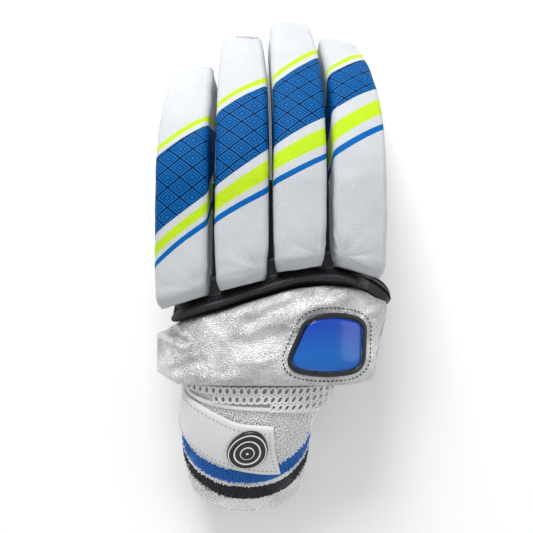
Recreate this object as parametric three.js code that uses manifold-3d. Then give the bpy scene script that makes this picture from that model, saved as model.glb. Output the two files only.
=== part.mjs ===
import * as THREE from 'three';
import { mergeVertices } from 'three/addons/utils/BufferGeometryUtils.js';
import Module from 'manifold-3d';

const wasm = await Module();
wasm.setup();

// A left-hand batting glove, lying palm down. Millimetres, +X to the thumb side, +Y to the
// fingertips, +Z out of the back of the hand. While it is built, y = 0 is the web line where the
// fingers meet the palm, x = 0 lies between the ring and middle fingers and z = 0 is the surface.

// Walls and clearances
const leatherWall = 2;
const knitWall = 3;
const strapThickness = 1.8;
const meshThickness = 2;
const seatGap = 0.3;

// Palm and fingers
const fingerPitch = 32.2;
const stallWidth = 27;
const stallHeight = 25;
const littleReach = 71;
const ringReach = 93.5;
const middleReach = 103;
const indexReach = 91;
const palmLength = 112;
const palmHeight = 28;
const handArch = 4.5;

// Foam rolls on the backs of the fingers
const rollGap = 1.4;
const rollThickness = 17;
const rollEdgeRadius = 4.5;
const rollCrown = 1.2;
const rollOverhang = 14;
const rollLean = 0.45;

// Thumb, folded in under the palm, and the pad that it lies on
const thumbWidth = 27;
const thumbHeight = 18;
const thumbPadThickness = 9;
const thumbPadMargin = 2.5;

// Ribbed roll behind the knuckles
const pipingWidth = 9.5;
const pipingHeight = 10;

// Pad on the back of the hand and its badge
const cuffLength = 57.6;
const cuffHalfWidth = 67;
const cuffThickness = 9.5;
const cuffFall = 17;
const cuffTaper = 0.1;
const badgeWidth = 41.6;
const badgeHeight = 25;
const badgeBow = 3;
const badgeThickness = 2.2;
const rimWidth = 2.6;
const rimThickness = 2.8;

// Knitted wristband, mesh, strap and round badge
const wristLength = 66;
const wristWidth = 76;
const wristHeight = 54;
const wristOffset = 15;
const wristTilt = 42;
const restFlat = 1.2;
const meshRows = 2;
const meshColumns = 15;
const holeWidth = 3.8;
const holeLength = 2.8;
const discRadius = 10.8;
const discThickness = 2;

// How square the sections are, from a plain ellipse (2) towards a box, and their facets
const palmSquareness = 3.2;
const wristSquareness = 2.3;
const stallSquareness = 2.5;
const bandSides = 26;
const stallSides = 14;

// How high a finger's middle rests at its tip, in half heights, how much of its height the tip
// rounds off in, and how little of a section is left at a rounded end
const tipRest = 0.24;
const tipRound = 0.42;
const leastHalf = 1;

// Sizes that follow from the ones above
const handHalfWidth = 2 * fingerPitch - rollGap;
const thumbRestHeight = thumbPadThickness + seatGap + thumbHeight / 2;
const palmLift = thumbPadThickness + thumbHeight + 4 * seatGap + handArch / 2;
const palmCentre = palmLift + palmHeight / 2;
const wristRestHeight = wristHeight / 2 * Math.cos(THREE.MathUtils.degToRad(wristTilt)) - restFlat;

// Palm sections from the web line (at 0) to the wrist (at 1). wide and high are shares of the
// hand's half width and the palm's half height, across of the half width, tilt of wristTilt.
const palmRows = [
  { at: 0.0, wide: 1.0, high: 1.0, across: 0.0, tilt: 0.0 },
  { at: 0.25, wide: 0.97, high: 1.05, across: 0.0, tilt: 0.0 },
  { at: 0.5, wide: 0.9, high: 1.1, across: -0.01, tilt: 0.05 },
  { at: 0.78, wide: 0.79, high: 1.17, across: -0.04, tilt: 0.25 },
  { at: 1.0, wide: 0.7, high: 1.22, across: -0.075, tilt: 0.5 },
];

// Wristband sections from the palm (at 0) to the open hem (at 1). blend goes from the palm's last
// section to the band's own, fall from the palm's height down to the surface, tilt is a share of
// wristTilt and pinch a share of the width.
const wristRows = [
  { at: 0.0, blend: 0.0, fall: 0.0, tilt: 0.5, pinch: 1.0 },
  { at: 0.15, blend: 0.35, fall: 0.1, tilt: 0.75, pinch: 1.0 },
  { at: 0.35, blend: 0.8, fall: 0.32, tilt: 0.95, pinch: 1.0 },
  { at: 0.6, blend: 1.0, fall: 0.62, tilt: 1.0, pinch: 1.01 },
  { at: 0.85, blend: 1.0, fall: 0.89, tilt: 1.0, pinch: 0.97 },
  { at: 1.0, blend: 1.0, fall: 1.0, tilt: 1.0, pinch: 0.9 },
];

// The four fingers. place counts pitches from the glove's middle line, back is where the roll
// starts behind the web line in palm lengths, rear and front the slopes of its two ends in plan
// and sway the sideways bend of the tip in pitches.
const fingers = [
  { name: 'little', place: -1.47, reach: littleReach, back: 0.62, rear: 0.3, front: 0.22, sway: 0.06 },
  { name: 'ring', place: -0.5, reach: ringReach, back: 0.535, rear: 0.24, front: 0.04, sway: -0.04 },
  { name: 'middle', place: 0.5, reach: middleReach, back: 0.45, rear: 0.14, front: -0.02, sway: -0.14 },
  { name: 'index', place: 1.47, reach: indexReach, back: 0.465, rear: -0.28, front: -0.2, sway: -0.24 },
];

// Finger sections from the web (at 0) to the tip (at 1): shares of the stall's width and height,
// the share of the fall to the surface, and the share of the sway.
const fingerRows = [
  { at: 0.0, wide: 1.1, high: 1.1, fall: 0.0, sway: 0.0 },
  { at: 0.18, wide: 1.02, high: 1.0, fall: 0.06, sway: 0.0 },
  { at: 0.45, wide: 0.98, high: 0.96, fall: 0.29, sway: 0.12 },
  { at: 0.7, wide: 0.93, high: 0.9, fall: 0.59, sway: 0.45 },
  { at: 0.88, wide: 0.86, high: 0.84, fall: 0.84, sway: 0.8 },
  { at: 1.0, wide: 0.8, high: 0.8, fall: 1.0, sway: 1.0 },
];

// Roll sections from its rear end (at 0) to its tip (at 1): shares of the roll's width at the
// top and at the base, of its thickness, and where its lower edge lies on the finger's side.
const rollRows = [
  { at: 0.0, top: 0.76, base: 0.84, thick: 0.62, skirt: 0.72 },
  { at: 0.03, top: 0.87, base: 0.91, thick: 0.9, skirt: 0.72 },
  { at: 0.09, top: 0.95, base: 0.97, thick: 1.0, skirt: 0.72 },
  { at: 0.25, top: 0.985, base: 1.0, thick: 1.03, skirt: 0.74 },
  { at: 0.4, top: 0.985, base: 1.0, thick: 1.03, skirt: 0.76 },
  { at: 0.52, top: 0.98, base: 1.0, thick: 1.0, skirt: 0.5 },
  { at: 0.66, top: 0.96, base: 0.98, thick: 0.96, skirt: 0.4 },
  { at: 0.78, top: 0.93, base: 0.95, thick: 0.9, skirt: 0.36 },
  { at: 0.88, top: 0.87, base: 0.91, thick: 0.83, skirt: 0.3 },
  { at: 0.945, top: 0.79, base: 0.85, thick: 0.75, skirt: 0.26 },
  { at: 0.98, top: 0.68, base: 0.76, thick: 0.6, skirt: 0.2 },
  { at: 1.0, top: 0.5, base: 0.62, thick: 0.38, skirt: 0.1 },
];

// The line of the ribbed roll across the hand: across in half widths, back in palm lengths and
// drop in piping heights, where its thumb end turns down over the side of the hand.
const knuckleLine = [
  { across: -0.9, back: 0.72, drop: 0.1, size: 0.7 },
  { across: -0.74, back: 0.678, drop: 0.0, size: 1.0 },
  { across: -0.45, back: 0.63, drop: 0.0, size: 1.0 },
  { across: -0.15, back: 0.575, drop: 0.0, size: 1.0 },
  { across: 0.22, back: 0.515, drop: 0.0, size: 1.0 },
  { across: 0.5, back: 0.5, drop: 0.0, size: 1.0 },
  { across: 0.72, back: 0.515, drop: 0.0, size: 1.0 },
  { across: 0.93, back: 0.56, drop: 0.35, size: 0.95 },
  { across: 1.12, back: 0.635, drop: 0.9, size: 0.55 },
];

// The thumb's line, from inside the palm to its tip: across in half widths, back in palm lengths,
// rise from the thumb's own resting height (0) to the palm's middle (1), and its thickness.
const thumbLine = [
  { across: 0.46, back: 0.86, rise: 0.95, size: 1.15 },
  { across: 0.64, back: 0.68, rise: 0.42, size: 1.12 },
  { across: 0.68, back: 0.46, rise: 0.06, size: 1.05 },
  { across: 0.58, back: 0.2, rise: 0.0, size: 1.0 },
  { across: 0.42, back: -0.02, rise: 0.0, size: 0.92 },
  { across: 0.32, back: -0.13, rise: 0.0, size: 0.8 },
];

// A smooth value of one column of a table, at a share between its rows.
function valueAt(rows, column, at, key = 'at') {
  const last = rows.length - 1;
  let i = 0;
  while (i < last - 1 && at > rows[i + 1][key]) i += 1;
  const slope = (a, b) => (rows[b][column] - rows[a][column]) / (rows[b][key] - rows[a][key]);
  const span = rows[i + 1][key] - rows[i][key];
  const t = THREE.MathUtils.clamp((at - rows[i][key]) / span, 0, 1);
  const here = slope(i, i + 1);
  const before = i > 0 ? (slope(i - 1, i) + here) / 2 : here;
  const after = i < last - 1 ? (here + slope(i + 1, i + 2)) / 2 : here;
  const eased = (2 * t ** 3 - 3 * t ** 2 + 1) * rows[i][column]
    + (t ** 3 - 2 * t ** 2 + t) * span * before
    + (3 * t ** 2 - 2 * t ** 3) * rows[i + 1][column]
    + (t ** 3 - t ** 2) * span * after;
  return eased;
}

// A closed skin through rings of points. The two ends are closed with fans, or the last ring is
// joined back to the first.
function skin(rings, looped = false) {
  const sides = rings[0].length;
  const points = rings.flat();
  const faces = [];
  const bands = looped ? rings.length : rings.length - 1;
  for (let band = 0; band < bands; band += 1) {
    const low = band * sides;
    const high = ((band + 1) % rings.length) * sides;
    for (let side = 0; side < sides; side += 1) {
      const next = (side + 1) % sides;
      faces.push(low + side, low + next, high + next, low + side, high + next, high + side);
    }
  }
  if (!looped) {
    const centreOf = (ring) => ring.reduce((sum, point) => sum.add(point), new THREE.Vector3())
      .divideScalar(sides);
    const start = points.push(centreOf(rings[0])) - 1;
    const end = points.push(centreOf(rings[rings.length - 1])) - 1;
    const top = (rings.length - 1) * sides;
    for (let side = 0; side < sides; side += 1) {
      const next = (side + 1) % sides;
      faces.push(start, next, side, end, top + side, top + next);
    }
  }
  let volume = 0;
  const cross = new THREE.Vector3();
  for (let f = 0; f < faces.length; f += 3) {
    volume += points[faces[f]].dot(cross.crossVectors(points[faces[f + 1]], points[faces[f + 2]]));
  }
  const geometry = new THREE.BufferGeometry();
  geometry.setAttribute('position', new THREE.Float32BufferAttribute(
    points.flatMap((point) => [point.x, point.y, point.z]), 3));
  geometry.setIndex(volume < 0 ? faces.reverse() : faces);
  return geometry;
}

function toSolid(geometry) {
  const merged = mergeVertices(geometry, 1e-4);
  return new wasm.Manifold(new wasm.Mesh({
    numProp: 3,
    vertProperties: new Float32Array(merged.attributes.position.array),
    triVerts: new Uint32Array(merged.index.array),
  }));
}

function toGeometry(solid) {
  const mesh = solid.getMesh();
  const geometry = new THREE.BufferGeometry();
  geometry.setAttribute('position', new THREE.Float32BufferAttribute(mesh.vertProperties, 3));
  geometry.setIndex(Array.from(mesh.triVerts));
  return geometry;
}

// The piece with each of its neighbours cut away.
function cutBy(geometry, ...neighbours) {
  let solid = toSolid(geometry);
  for (const neighbour of neighbours) solid = solid.subtract(toSolid(neighbour));
  return toGeometry(solid);
}

// A rounded oval section, from a plain ellipse (squareness 2) towards a box.
function ovalRing(sides, squareness, place) {
  const power = 2 / squareness;
  const ring = [];
  for (let side = 0; side < sides; side += 1) {
    const angle = 2 * Math.PI * side / sides;
    const c = Math.cos(angle);
    const s = Math.sin(angle);
    ring.push(place(Math.sign(c) * Math.abs(c) ** power, Math.sign(s) * Math.abs(s) ** power));
  }
  return ring;
}

// How far the back of the hand has dropped at a distance from its middle line.
function archDrop(x) {
  return handArch * Math.abs(x / handHalfWidth) ** 3;
}

function palmSection(at) {
  return {
    centre: new THREE.Vector3(
      valueAt(palmRows, 'across', at) * handHalfWidth, -at * palmLength, palmCentre),
    halfWidth: valueAt(palmRows, 'wide', at) * handHalfWidth,
    halfHeight: valueAt(palmRows, 'high', at) * palmHeight / 2,
    tilt: THREE.MathUtils.degToRad(valueAt(palmRows, 'tilt', at) * wristTilt),
    squareness: palmSquareness,
    arch: 1 - at,
  };
}

function wristSection(at) {
  const palmEnd = palmSection(1);
  const blend = valueAt(wristRows, 'blend', at);
  const fall = valueAt(wristRows, 'fall', at);
  const mix = THREE.MathUtils.lerp;
  return {
    centre: new THREE.Vector3(
      mix(palmEnd.centre.x, -wristOffset, blend),
      palmEnd.centre.y - seatGap - at * wristLength,
      mix(palmCentre, wristRestHeight, fall)),
    halfWidth: mix(palmEnd.halfWidth, wristWidth / 2, blend) * valueAt(wristRows, 'pinch', at),
    halfHeight: mix(palmEnd.halfHeight, wristHeight / 2, blend),
    tilt: THREE.MathUtils.degToRad(valueAt(wristRows, 'tilt', at) * wristTilt),
    squareness: mix(palmSquareness, wristSquareness, Math.min(1, blend)),
    arch: 0,
  };
}

// One point of a hand or wrist section, with c and s as on a rounded oval and a distance outwards.
// Nothing goes lower than the surface that the glove lies on, or the wall above it.
function sectionPoint(section, c, s, outwards) {
  const x = section.centre.x + c * (section.halfWidth + outwards);
  const up = s * (section.halfHeight + outwards);
  const z = section.centre.z + up * Math.cos(section.tilt) - archDrop(x) * section.arch;
  const floor = outwards < 0 ? -outwards : 0;
  return new THREE.Vector3(x, section.centre.y - up * Math.sin(section.tilt), Math.max(z, floor));
}

function sectionRing(section, outwards, sides = bandSides) {
  return ovalRing(sides, section.squareness, (c, s) => sectionPoint(section, c, s, outwards));
}

// A tube with a wall, open at both ends: along its outside and back along its inside.
function openTube(sectionAt, stations, wall) {
  const outer = stations.map((at) => sectionRing(sectionAt(at), 0));
  const inner = stations.map((at) => sectionRing(sectionAt(at), -wall));
  return skin([...outer, ...inner.reverse()], true);
}

// A solid plug of a tube's outer form, a little larger, that cuts its neighbours back.
function tubePlug(sectionAt, stations, outwards) {
  return skin(stations.map((at) => sectionRing(sectionAt(at), outwards)));
}

// A plug that stands for a neighbour is a little larger than it, so that the cut keeps the gap.
const plugGap = 1.2 * seatGap;

const palmStations = [0, 0.2, 0.42, 0.64, 0.84, 1];
const palmPlug = tubePlug(palmSection, palmStations, seatGap);
const palmTube = openTube(palmSection, palmStations, leatherWall);

// The line of one finger at a distance in front of (or, below zero, behind) the web.
function fingerSection(finger, y) {
  const at = THREE.MathUtils.clamp(y / (finger.reach - rollOverhang), 0, 1.06);
  const x = fingerPitch * (finger.place + finger.sway * valueAt(fingerRows, 'sway', at));
  const rest = stallHeight / 2 * tipRest;
  const web = palmCentre - archDrop(x);
  const fall = valueAt(fingerRows, 'fall', at);
  const palm = y < 0 ? palmSection(Math.min(1, -y / palmLength)) : null;
  return {
    centre: new THREE.Vector3(x, y, THREE.MathUtils.lerp(web, rest, fall)),
    halfWidth: stallWidth / 2 * valueAt(fingerRows, 'wide', at),
    halfHeight: palm ? palm.halfHeight : stallHeight / 2 * valueAt(fingerRows, 'high', at),
  };
}

// The finger's own axes: along it, up out of its back and across it, rolled with the hand's arch.
const tangentStep = 1;

function fingerFrame(finger, y) {
  const before = fingerSection(finger, y - tangentStep).centre;
  const after = fingerSection(finger, y + tangentStep).centre;
  const along = after.sub(before);
  along.x = 0;
  if (y < 2 * tangentStep) along.set(0, 1, 0);
  along.normalize();
  const straightUp = new THREE.Vector3(0, -along.z, along.y);
  const x = finger.place * fingerPitch;
  const roll = Math.atan(3 * handArch * x * Math.abs(x) / handHalfWidth ** 3);
  const side = new THREE.Vector3(1, 0, 0);
  const up = straightUp.clone().multiplyScalar(Math.cos(roll)).addScaledVector(side, Math.sin(roll));
  const across = side.multiplyScalar(Math.cos(roll)).addScaledVector(straightUp, -Math.sin(roll));
  return { along, up, across };
}

function fingerPoint(finger, y, a, b, floor) {
  const { centre } = fingerSection(finger, y);
  const { up, across } = fingerFrame(finger, y);
  const point = centre.clone().addScaledVector(across, a).addScaledVector(up, b);
  point.z = Math.max(point.z, floor);
  return point;
}

// Rings of a finger stall, offset outwards, from the web to its rounded tip.
function stallRings(finger, outwards, starts) {
  const tip = finger.reach - rollOverhang;
  const roundLength = stallHeight * tipRound;
  const stations = [...starts, 0.14 * tip, 0.36 * tip, 0.58 * tip, tip - roundLength];
  const ends = [0.6, 0.88, 0.99].map((share) => tip - roundLength * (1 - share));
  return [...stations, ...ends].map((y) => {
    const section = fingerSection(finger, y);
    const into = Math.max(0, (y - tip + roundLength) / roundLength);
    const shrink = Math.sqrt(Math.max(0, 1 - into ** 2));
    const halfWidth = section.halfWidth * shrink + outwards;
    const halfHeight = section.halfHeight * shrink + outwards;
    const floor = outwards < 0 ? -outwards : 0;
    const place = y + (into > 0 ? outwards * into : 0);
    return ovalRing(stallSides, stallSquareness, (c, s) => fingerPoint(
      finger, place, c * Math.max(halfWidth, leastHalf), s * Math.max(halfHeight, leastHalf), floor));
  });
}

// A finger stall: a hollow tube, open towards the palm and closed at the tip.
function fingerStall(finger) {
  const outer = stallRings(finger, 0, [seatGap]);
  const inner = stallRings(finger, -leatherWall, [seatGap]);
  return skin([...outer.reverse(), ...inner]);
}

// Half of a roll's cross section is a side, a rounded edge and a crowned top.
function rollOutline(topHalf, baseHalf, low, high) {
  const radius = Math.min(rollEdgeRadius, topHalf * 0.5, (high - low) * 0.4);
  const points = [[0, low], [baseHalf, low], [THREE.MathUtils.lerp(baseHalf, topHalf, 0.5),
    THREE.MathUtils.lerp(low, high - radius, 0.55)]];
  for (const turn of [0, 30, 60, 90]) {
    const angle = THREE.MathUtils.degToRad(turn);
    points.push([topHalf - radius + radius * Math.cos(angle), high - radius * (1 - Math.sin(angle))]);
  }
  points.push([(topHalf - radius) / 2, high + rollCrown * 0.75]);
  const mirrored = points.slice(1).reverse().map(([a, b]) => [-a, b]);
  return [...points, [0, high + rollCrown], ...mirrored];
}

// A foam roll on the back of a finger, from behind the knuckle to just past the fingertip.
function fingerRoll(finger) {
  const width = fingerPitch - rollGap;
  const rear = -finger.back * palmLength;
  const length = finger.reach - rollLean * rollThickness - rear;
  const rings = rollRows.map((row) => {
    const y = rear + row.at * length;
    const section = fingerSection(finger, y);
    const outline = rollOutline(width / 2 * row.top, width / 2 * row.base,
      section.halfHeight * row.skirt, section.halfHeight + rollThickness * row.thick);
    const slant = finger.rear * Math.max(0, 1 - row.at * 3)
      + finger.front * Math.max(0, 1 - (1 - row.at) * 5);
    return outline.map(([a, b]) => {
      const point = fingerPoint(finger, y, a, b, 0);
      point.y += a * slant;
      return point;
    });
  });
  return skin(rings);
}

// The ribbed roll: a rounded rib on a flat strip, along the line behind the knuckles.
const pipingOutline = [
  [-0.5, 0], [-0.5, 0.22], [-0.4, 0.42], [-0.36, 0.7], [-0.2, 0.92], [0, 1],
  [0.2, 0.92], [0.36, 0.7], [0.4, 0.42], [0.5, 0.22], [0.5, 0],
];
const pipingSteps = 18;

function backHeight(x, y) {
  const at = THREE.MathUtils.clamp(-y / palmLength, 0, 1);
  const section = palmSection(at);
  const c = Math.min(0.97, Math.abs(x - section.centre.x) / section.halfWidth);
  return section.centre.z - archDrop(x) * section.arch
    + section.halfHeight * (1 - c ** palmSquareness) ** (1 / palmSquareness);
}

function knucklePlace(share) {
  const first = knuckleLine[0].across;
  const last = knuckleLine[knuckleLine.length - 1].across;
  const across = THREE.MathUtils.lerp(first, last, share);
  const x = across * handHalfWidth;
  const y = -valueAt(knuckleLine, 'back', across, 'across') * palmLength;
  const drop = valueAt(knuckleLine, 'drop', across, 'across') * pipingHeight;
  return new THREE.Vector3(x, y, backHeight(x, y) - drop);
}

function pipingSolid(outwards) {
  const rings = [];
  for (let step = 0; step <= pipingSteps; step += 1) {
    const share = step / pipingSteps;
    const place = knucklePlace(share);
    const ahead = knucklePlace(Math.min(1, share + 0.01)).sub(knucklePlace(Math.max(0, share - 0.01)));
    ahead.normalize();
    const across = THREE.MathUtils.lerp(
      knuckleLine[0].across, knuckleLine[knuckleLine.length - 1].across, share);
    const size = valueAt(knuckleLine, 'size', across, 'across');
    const forward = new THREE.Vector3(-ahead.y, ahead.x, 0).normalize();
    const up = new THREE.Vector3().crossVectors(ahead, forward).normalize();
    rings.push(pipingOutline.map(([a, b]) => place.clone()
      .addScaledVector(forward, a * (pipingWidth * size + 2 * outwards))
      .addScaledVector(up, b * (pipingHeight * size + outwards))));
  }
  return skin(rings);
}

const knucklePiping = cutBy(pipingSolid(0), palmPlug);

// The pad's front edge lies behind the ribbed roll, and its rear edge hangs past the wrist.
const cuffColumns = 14;
const cuffRowsAlong = 7;
const foremost = Math.min(...knuckleLine.map((row) => row.back));
const cuffRear = -foremost * palmLength - pipingWidth / 2 - cuffLength;

// Its corners are cut back from here outwards, and its front edge follows the ribbed roll so far.
const cornerFrom = 0.8;
const frontCornerCut = 0.07;
const thumbCornerCut = 0.04;
const littleCornerCut = 0.11;
const followsTo = 0.9;

function cuffEdges(u) {
  const x = THREE.MathUtils.lerp(-1, 1, u);
  const first = knuckleLine[0].across;
  const across = THREE.MathUtils.clamp(x, first, followsTo);
  const corner = Math.max(0, Math.abs(x) - cornerFrom) / (1 - cornerFrom);
  const rearCut = x > 0 ? thumbCornerCut : littleCornerCut;
  const front = -valueAt(knuckleLine, 'back', across, 'across') * palmLength
    - pipingWidth / 2 - seatGap;
  const rear = cuffRear + corner * cuffLength * rearCut;
  return { front: front - corner ** 2 * cuffLength * frontCornerCut, rear };
}

function cuffBase(x) {
  const crownHeight = palmCentre + palmSection(1).halfHeight + seatGap;
  return crownHeight - cuffFall * Math.abs(x / cuffHalfWidth) ** 2.6;
}

function cuffSpan(v) {
  return cuffHalfWidth * (2 - cuffTaper * v);
}

function cuffPlan(u, v) {
  const { front, rear } = cuffEdges(u);
  return { x: u * cuffSpan(v) - cuffHalfWidth, y: THREE.MathUtils.lerp(front, rear, v) };
}

// The pad is full in its middle and rounds down to its edges, which keep this share of it.
const edgeShare = 0.34;

function cuffFullness(u, v) {
  const edge = (t, length) => Math.min(1, Math.min(t, 1 - t) * length / cuffThickness);
  const round = (t) => Math.sqrt(Math.max(0, 1 - (1 - t) ** 2));
  return edgeShare + (1 - edgeShare) * round(edge(u, 2 * cuffHalfWidth)) * round(edge(v, cuffLength));
}

function cuffTop(u, v, outwards) {
  const { x, y } = cuffPlan(u, v);
  return new THREE.Vector3(x, y, cuffBase(x) + cuffThickness * cuffFullness(u, v) + outwards);
}

function cuffShares(count) {
  const even = Array.from({ length: count - 3 }, (_, i) => (i + 1) / (count - 2));
  return [0, 0.02, ...even, 0.98, 1];
}

function cuffSolid(outwards) {
  const across = cuffShares(cuffColumns);
  const along = cuffShares(cuffRowsAlong);
  const rings = across.map((u) => {
    const top = along.map((v) => cuffTop(u, v, outwards));
    const low = along.map((v) => {
      const { x, y } = cuffPlan(u, v);
      return new THREE.Vector3(x, y, cuffBase(x) - outwards);
    });
    return [...top, ...low.reverse()];
  });
  return skin(rings);
}

// The badge's corners in plan, in shares of its width and height, and how far each is rounded.
const badgeCorners = [
  { across: 0.5, front: 0.5, corner: 4.5 },
  { across: -0.26, front: 0.5, corner: 4.5 },
  { across: -0.5, front: -0.5, corner: 7 },
  { across: 0.5, front: -0.5, corner: 6.5 },
];
const badgePlace = { across: 0.234, back: 0.843 };
const badgeTurn = THREE.MathUtils.degToRad(-2);
const cornerSteps = 3;
const edgeSteps = 4;

// A point along one edge of the badge, whose front and rear edges bow outwards.
function badgeEdgePoint(from, to, share) {
  const bow = from.y === to.y ? Math.sign(from.y) * badgeBow * 4 * share * (1 - share) : 0;
  return from.clone().lerp(to, share).add(new THREE.Vector2(0, bow));
}

// The badge's outline in plan, grown outwards by some millimetres.
function badgeOutline(grow) {
  const corners = badgeCorners.map((row) => new THREE.Vector2(
    row.across * badgeWidth, row.front * badgeHeight));
  const points = [];
  badgeCorners.forEach((row, index) => {
    const here = corners[index];
    const before = corners[(index + 3) % 4];
    const after = corners[(index + 1) % 4];
    const start = badgeEdgePoint(before, here, 1 - row.corner / here.distanceTo(before));
    const first = row.corner / here.distanceTo(after);
    const last = 1 - badgeCorners[(index + 1) % 4].corner / here.distanceTo(after);
    const bend = new THREE.QuadraticBezierCurve(start, here, badgeEdgePoint(here, after, first));
    points.push(...bend.getPoints(cornerSteps));
    for (let step = 1; step < edgeSteps; step += 1) {
      const share = THREE.MathUtils.lerp(first, last, step / edgeSteps);
      points.push(badgeEdgePoint(here, after, share));
    }
  });
  const count = points.length;
  return points.map((point, i) => {
    const along = points[(i + 1) % count].clone().sub(points[(i + count - 1) % count]).normalize();
    return point.clone().add(new THREE.Vector2(along.y, -along.x).multiplyScalar(grow));
  });
}

// A point on the pad's top at a place in plan, some way out of it.
function onCuff(x, y, outwards) {
  let u = 0.5;
  let v = 0.5;
  for (let pass = 0; pass < 5; pass += 1) {
    u = (x + cuffHalfWidth) / cuffSpan(v);
    const { front, rear } = cuffEdges(u);
    v = (y - front) / (rear - front);
  }
  return new THREE.Vector3(x, y, cuffBase(x) + cuffThickness * cuffFullness(u, v) + outwards);
}

function badgeRing(grow, share, outwards) {
  const x0 = badgePlace.across * 2 * cuffHalfWidth;
  const y0 = -badgePlace.back * palmLength;
  return badgeOutline(grow).map((point) => {
    const turned = point.multiplyScalar(share).rotateAround(new THREE.Vector2(0, 0), badgeTurn);
    return onCuff(x0 + turned.x, y0 + turned.y, outwards);
  });
}

// The badge and its rim start this far below the pad's face and are then cut to it.
const cuffPlug = cuffSolid(seatGap);
const badgeRoot = -1;

const cuffBadge = cutBy(skin([
  badgeRing(0, 0.6, badgeRoot), badgeRing(0, 1, badgeRoot),
  badgeRing(0, 1, seatGap + badgeThickness * 0.6), badgeRing(0, 0.94, seatGap + badgeThickness),
  badgeRing(0, 0.65, seatGap + badgeThickness * 1.25),
  badgeRing(0, 0.3, seatGap + badgeThickness * 1.35),
]), cuffPlug);

const cuffBadgeRim = cutBy(skin([
  badgeRing(seatGap, 1, badgeRoot), badgeRing(seatGap + rimWidth, 1, badgeRoot),
  badgeRing(seatGap + rimWidth, 1, seatGap + rimThickness * 0.6),
  badgeRing(seatGap + rimWidth * 0.6, 1, seatGap + rimThickness),
  badgeRing(seatGap, 1, seatGap + rimThickness * 0.8),
], true), cuffPlug);

// The thumb follows its line as a smooth curve.
const thumbCurve = new THREE.CatmullRomCurve3(thumbLine.map((row) => new THREE.Vector3(
  row.across * handHalfWidth,
  -row.back * palmLength,
  THREE.MathUtils.lerp(thumbRestHeight, palmCentre, row.rise))));
const thumbSteps = 10;
const thumbRoundFrom = 0.84;
const thumbSizes = thumbLine.map((row, index) => ({ at: index / (thumbLine.length - 1), size: row.size }));

function thumbFrame(share) {
  const centre = thumbCurve.getPoint(share);
  const along = thumbCurve.getTangent(share);
  const across = new THREE.Vector3(along.y, -along.x, 0).normalize();
  const up = new THREE.Vector3().crossVectors(across, along).normalize();
  return { centre, across, up, size: valueAt(thumbSizes, 'size', share) };
}

function thumbRings(outwards, rounded) {
  const rings = [];
  for (let step = 0; step <= thumbSteps; step += 1) {
    const share = step / thumbSteps;
    const { centre, across, up, size } = thumbFrame(share);
    const into = rounded ? Math.max(0, (share - thumbRoundFrom) / (1 - thumbRoundFrom)) : 0;
    const shrink = Math.sqrt(Math.max(0, 1 - 0.88 * into ** 2));
    const halfWidth = thumbWidth / 2 * size * shrink + outwards;
    const halfHeight = thumbHeight / 2 * size * shrink + outwards;
    const ahead = thumbCurve.getTangent(share).multiplyScalar(outwards * into);
    rings.push(ovalRing(stallSides, stallSquareness, (c, s) => centre.clone().add(ahead)
      .addScaledVector(across, c * halfWidth).addScaledVector(up, s * halfHeight)));
  }
  return rings;
}

const thumbInnerRings = thumbRings(-leatherWall, true).slice(0, -1);
const thumbBore = skin(thumbInnerRings);
const thumbStall = toGeometry(toSolid(skin(thumbRings(0, true)))
  .subtract(toSolid(thumbBore))
  .subtract(toSolid(palmPlug)));

// The pad under the thumb: flat where it rests, cut to the thumb and the palm above it.
const thumbPadStart = 0.3;
const thumbPadSteps = 9;

function thumbPad() {
  const rings = [];
  for (let step = 0; step <= thumbPadSteps; step += 1) {
    const share = THREE.MathUtils.lerp(thumbPadStart, 1, step / thumbPadSteps);
    const { centre, across, size } = thumbFrame(share);
    const end = Math.min(1, 4 * Math.min(step, thumbPadSteps - step) / thumbPadSteps);
    const shrink = 0.62 + 0.38 * Math.sqrt(1 - (1 - end) ** 2);
    const half = (thumbWidth / 2 * size + thumbPadMargin) * shrink;
    const height = thumbPadThickness + thumbHeight * 0.38;
    rings.push([[-0.86, 0], [-0.96, 0.14], [-1, 0.4], [-0.96, 0.8], [-0.84, 1], [0, 1.02],
      [0.84, 1], [0.96, 0.8], [1, 0.4], [0.96, 0.14], [0.86, 0], [0, 0]]
      .map(([a, b]) => new THREE.Vector3(centre.x, centre.y, 0)
        .addScaledVector(across, a * half)
        .add(new THREE.Vector3(0, 0, b * height))));
  }
  return skin(rings);
}

const thumbPlug = skin(thumbRings(plugGap, true));
const thumbRoll = cutBy(thumbPad(), thumbPlug, palmPlug);
const palmShell = cutBy(palmTube, thumbBore);

// Wristband: ribbed knit, open where the hand goes in.
const wristStations = [0, 0.12, 0.26, 0.42, 0.6, 0.8, 1];
const wristband = openTube(wristSection, wristStations, knitWall);

// A point on the wristband at a share along it and an angle round it (90 is the back of the
// wrist, 180 the little finger's side), some way out of the knit.
function onWrist(at, degrees, outwards) {
  const section = wristSection(at);
  const angle = THREE.MathUtils.degToRad(degrees);
  const power = 2 / section.squareness;
  const c = Math.cos(angle);
  const s = Math.sin(angle);
  return sectionPoint(section, Math.sign(c) * Math.abs(c) ** power,
    Math.sign(s) * Math.abs(s) ** power, outwards);
}

// A sheet laid on the wristband: place gives the share and the angle at u along and v across it.
const sheetGap = 1.8 * seatGap;

function wristSheet(columns, rows, thickness, place) {
  const rings = [];
  for (let i = 0; i <= columns; i += 1) {
    const top = [];
    const low = [];
    for (let j = 0; j <= rows; j += 1) {
      const { at, degrees } = place(i / columns, j / rows);
      top.push(onWrist(at, degrees, sheetGap + thickness));
      low.push(onWrist(at, degrees, sheetGap));
    }
    rings.push([...top, ...low.reverse()]);
  }
  return skin(rings);
}

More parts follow.
